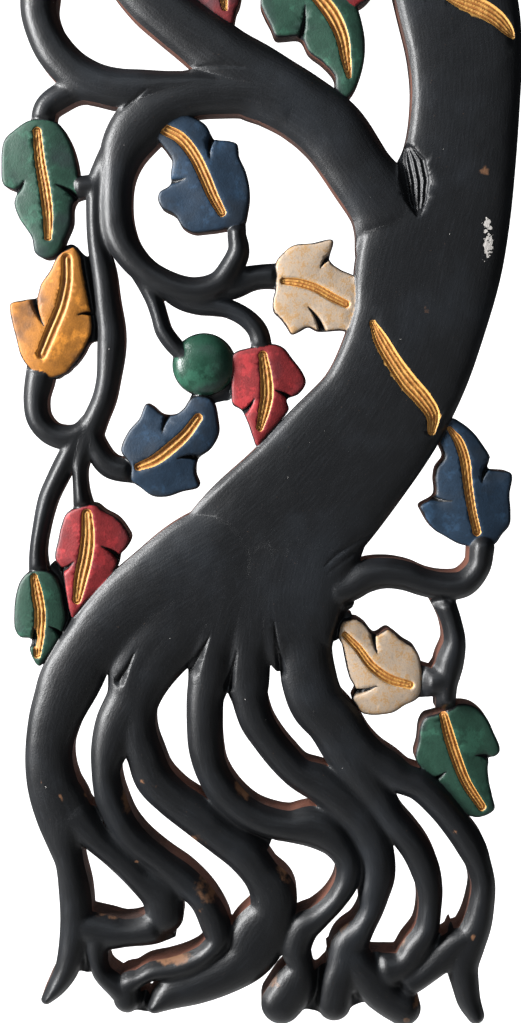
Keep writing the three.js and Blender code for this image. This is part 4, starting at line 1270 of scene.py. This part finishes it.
def carved_face(colours):
    """Black stain on the wood, paint on the leaves and gold in the gouges, the gold darkened as
    painted shade at the bottom of the grooves and the notch cuts left dark as painted shade.
    """
    f = Finish("stained_and_painted_face")
    place = f.node("ShaderNodeTexCoord", {}).outputs["Object"]
    flow = f.node("ShaderNodeAttribute", {"attribute_name": "flow"}).outputs["Vector"]
    paint_colour = f.node("ShaderNodeAttribute", {"attribute_name": "paint"}).outputs["Color"]
    leaf, edge, gold = f.mask("leaf"), f.mask("leaf_edge"), f.mask("gold")
    groove, cut, pearl = f.mask("groove"), f.mask("cut"), f.mask("pearl")
    broad, fine = f.noise(place, 22.0, 3.0), f.noise(place, 900.0, 2.0)
    middling = f.noise(place, 160.0, 4.0, 0.6)
    drawn = f.noise(f.stretched(flow, (60.0, 700.0, 1.0)), 1.0, 3.0)

    haze = broad.step(0.46, 0.75) * 0.35 + drawn.step(0.5, 0.8) * 0.2
    wood = f.mix(haze, colours.stain, colours.stain_haze)
    worn = f.mask("rubbed") * 1.15 + (middling - 0.5) * 1.3
    wood = f.mix(worn.step(0.5, 0.85), wood, colours.rubbed)
    specks = fine.step(0.70, 0.78) * middling.step(0.5, 0.66) * 0.5
    wood = f.mix(specks, wood, colours.rubbed)
    chips = (f.mask("chipped") * 1.2 + (f.noise(place, 420.0, 3.0) - 0.5) * 2.2).step(0.62, 0.72)
    wood = f.mix(chips, wood, colours.filler)

    patches = f.noise(place, 75.0, 4.0, 0.65).step(0.53, 0.66) * (1 - pearl)
    coat = f.tint(paint_colour, 0.25 + middling * 0.85 + fine * 0.65 + patches * 0.8)
    dusty = (middling * 0.6 + fine * 0.4).step(0.47, 0.6) * 0.8
    grain = f.mix(dusty * pearl, coat, (0.36, 0.20, 0.07))
    shade = f.noise(place, 42.0, 2.0).step(0.5, 0.72)
    coat = f.mix(shade * (1 - pearl) * 0.55, grain, colours.stain_haze)
    ragged = edge + (middling - 0.5) * 3.0
    # In the notch cuts the leaf paint stops and the dark stain shows, as painted shade in the cuts.
    painted = ragged.step(0.6, 1.8) * leaf * (1 - cut.step(0.1, 0.55))
    face = f.mix(painted, wood, coat)
    streak = f.noise(f.stretched(place, (500.0, 500.0, 160.0)), 1.0, 3.0)
    # Towards the bottom of the grooves the gold darkens as painted shade.
    deep = (groove + (streak - 0.5) * 0.9).step(0.55, 1.05)
    gilding = f.mix(deep, colours.gold, colours.gold_shaded_in_grooves)
    gilded = (gold + (streak - 0.5) * 0.08).step(0.4, 0.6) * (1 - cut.step(0.1, 0.5))
    face = f.mix(gilded, face, gilding)

    rough_wood = 0.22 + drawn * 0.16 + broad * 0.08 + fine * 0.16
    matt = painted.most(gilded)
    rough = rough_wood * (1 - matt) + (0.46 + middling * 0.14) * matt - f.mask("fruit") * 0.22
    bump = drawn * 0.3 * (1 - matt) + middling * 0.35 + fine * 0.35 + chips * -0.8
    return f.surface(face, rough, bump, 0.0006, specular=0.36, bump_strength=0.6)


def sawn_side(colours):
    """Red-brown wood of the fretted sides, with stain run over it in places."""
    f = Finish("sawn_side")
    place = f.node("ShaderNodeTexCoord", {}).outputs["Object"]
    grain = f.noise(f.stretched(place, (500.0, 500.0, 60.0)), 1.0, 4.0, 0.6)
    marks = f.noise(f.stretched(place, (140.0, 900.0, 140.0)), 1.0, 3.0)
    run = (f.noise(place, 26.0, 3.0) * 0.7 + grain * 0.3).step(0.45, 0.6)
    colour = f.mix(run * 0.85, colours.side, colours.side_dark)
    colour = f.tint(colour, 0.7 + grain * 0.6)
    return f.surface(colour, 0.55 + grain * 0.25, grain * 0.6 + marks * 0.4, 0.0008)


def planed_back(colours):
    """Bare planed wood with upright grain."""
    f = Finish("planed_back")
    place = f.node("ShaderNodeTexCoord", {}).outputs["Object"]
    rings = f.noise(f.stretched(place, (46.0, 20.0, 3.2)), 1.0, 5.0, 0.55)
    pores = f.noise(f.stretched(place, (1400.0, 400.0, 60.0)), 1.0, 2.0)
    stops = [(0.0, (0.62,) * 3), (0.45, (0.95,) * 3), (0.55, (0.72,) * 3), (1.0, (1.1,) * 3)]
    bands = f.node("ShaderNodeValToRGB", {"stops": stops}, rings).outputs[0]
    shade = f.node("ShaderNodeMix", {"data_type": "RGBA", "blend_type": "MULTIPLY"})
    shade.inputs[0].default_value = 1.0
    shade.inputs[6].default_value = (*colours.back, 1.0)
    f.tree.links.new(bands, shade.inputs[7])
    colour = f.mix(pores.step(0.62, 0.75) * 0.5, shade.outputs[2], (0.07, 0.035, 0.02))
    return f.surface(colour, 0.62 + pores * 0.15, pores * 0.5 + rings * 0.5, 0.0005)


# Operators


class OBJECT_OT_carved_tree_panel(bpy.types.Operator):
    """Carve the panel: trunk, boughs, leaves, fruit and roots in one piece"""

    bl_idname = "object.carved_tree_panel"
    bl_label = "Carved panel"

    def execute(self, context):
        sizes, colours = context.scene.carved_panel_sizes, context.scene.carved_panel_colours
        square = sizes.width / DRAWING_WIDTH
        sheet = carve(sizes, context.scene.carved_panel_stage)
        points, faces, walls = relief_mesh(sheet, square)
        if not len(walls):
            raise RuntimeError("the drawing left nothing to carve")
        mesh = mesh_from_arrays("tree_carving", points, faces, walls)
        for finish in (carved_face(colours), sawn_side(colours), planed_back(colours)):
            mesh.materials.append(finish)
        thing = bpy.data.objects.new("tree_carving", mesh)
        context.scene.collection.objects.link(thing)
        thin_out(thing, sizes.faces)
        close_back(thing.data)
        store_finish(thing.data, sheet, square, colours)
        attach(thing, "root")
        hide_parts("carved_panel")
        return {"FINISHED"}


def plain_finish(name, colour, glow=0.0):
    f = Finish(name)
    shader = f.node("ShaderNodeBsdfPrincipled", {}, Base_Color=(*colour, 1.0), Roughness=0.9)
    if glow:
        shader.inputs["Emission Color"].default_value = (1.0, 1.0, 1.0, 1.0)
        shader.inputs["Emission Strength"].default_value = glow
    f.node("ShaderNodeOutputMaterial", {}, shader.outputs[0])
    return f.material


def sheet_object(name, corners, material):
    mesh = bpy.data.meshes.new(name)
    mesh.from_pydata(corners, [], [(0, 1, 2, 3)])
    thing = bpy.data.objects.new(name, mesh)
    thing.data.materials.append(material)
    bpy.context.scene.collection.objects.link(thing)
    return thing


def soft_light(name, place, aim, size, power, colour=(1.0, 1.0, 1.0)):
    lamp = bpy.data.lights.new(name, "AREA")
    lamp.shape, lamp.size, lamp.size_y = "RECTANGLE", *size
    lamp.energy, lamp.color = power, colour
    thing = bpy.data.objects.new(name, lamp)
    thing.location = place
    heading = Vector(aim) - Vector(place)
    thing.rotation_euler = heading.to_track_quat("-Z", "Y").to_euler()
    bpy.context.scene.collection.objects.link(thing)


class SCENE_OT_carved_tree_stage(bpy.types.Operator):
    """Set the floor, backdrop, studio lights and camera"""

    bl_idname = "scene.carved_tree_stage"
    bl_label = "Studio stage"

    def execute(self, context):
        scene, stage = context.scene, context.scene.carved_panel_stage
        square = scene.carved_panel_sizes.width / DRAWING_WIDTH
        floor, behind = stage.ground, stage.backdrop
        sheet_object(
            "floor", [(-9, -9, floor), (9, -9, floor), (9, 9, floor), (-9, 9, floor)],
            plain_finish("pale_floor", (0.8, 0.8, 0.8)),
        )
        backdrop = sheet_object(
            "backdrop", [(-6, behind, floor), (6, behind, floor), (6, behind, 5), (-6, behind, 5)],
            plain_finish("white_backdrop", (0.9, 0.9, 0.9), 1.0),
        )
        backdrop.visible_glossy = False

        middle = (stage.eye_x, 0.0, stage.eye_z)
        soft_light("left_window", (-1.6, -0.6, 0.4), middle, (0.30, 1.5), 125.0)
        soft_light(
            "ceiling_light", (-0.3, -2.0, 1.4), (-0.1, 0.0, 0.1), (2.0, 0.8), 9.0, (0.80, 0.90, 1.0)
        )
        soft_light("front_fill", (0.9, -2.4, -0.2), middle, (1.2, 1.2), 1.8)
        world = bpy.data.worlds.new("studio_air")
        world.use_nodes = True
        world.node_tree.nodes["Background"].inputs[0].default_value = (0.82, 0.87, 0.92, 1.0)
        world.node_tree.nodes["Background"].inputs[1].default_value = 0.035
        scene.world = world
        scene.view_settings.view_transform = "Standard"

        camera = bpy.data.cameras.new("camera")
        camera.sensor_fit = "VERTICAL"
        camera.sensor_height = camera.sensor_width = 36.0
        picture_height = 1023
        camera.lens = camera.sensor_height * stage.distance / (picture_height * square)
        above_middle = picture_height / 2 - (FIXING[1] - stage.eye_z / square)
        camera.shift_y = -above_middle / picture_height
        thing = bpy.data.objects.new("camera", camera)
        thing.location = (
            stage.eye_x, -stage.distance - scene.carved_panel_sizes.leaf_face, stage.eye_z
        )
        thing.rotation_euler = (math.pi / 2, 0.0, 0.0)
        scene.collection.objects.link(thing)
        scene.camera = thing
        return {"FINISHED"}


class VIEW3D_PT_carved_panel(bpy.types.Panel):
    """Sizes, colours and steps of the carved panel"""

    bl_label = "Carved panel"
    bl_idname = "VIEW3D_PT_carved_panel"
    bl_space_type = "VIEW_3D"
    bl_region_type = "UI"
    bl_category = "Carved panel"

    def draw(self, context):
        scene = context.scene
        groups = scene.carved_panel_sizes, scene.carved_panel_colours, scene.carved_panel_stage
        for group in groups:
            box = self.layout.box()
            for name in group.bl_rna.properties.keys():
                if name not in ("rna_type", "name"):
                    box.prop(group, name)
        for operator in (OBJECT_OT_carved_tree_panel, SCENE_OT_carved_tree_stage):
            self.layout.operator(operator.bl_idname)


CLASSES = (
    CarvedPanelSizes, CarvedPanelColours, CarvedPanelStage, OBJECT_OT_carved_tree_panel,
    SCENE_OT_carved_tree_stage, VIEW3D_PT_carved_panel,
)


def register():
    for cls in CLASSES:
        bpy.utils.register_class(cls)
    for name, group in (
        ("sizes", CarvedPanelSizes), ("colours", CarvedPanelColours), ("stage", CarvedPanelStage)
    ):
        setattr(bpy.types.Scene, f"carved_panel_{name}", bpy.props.PointerProperty(type=group))


def unregister():
    for name in ("sizes", "colours", "stage"):
        delattr(bpy.types.Scene, f"carved_panel_{name}")
    for cls in reversed(CLASSES):
        bpy.utils.unregister_class(cls)


def main():
    register()
    bpy.ops.scene.carved_tree_stage()
    bpy.ops.object.carved_tree_panel()


if __name__ == "__main__":
    main()
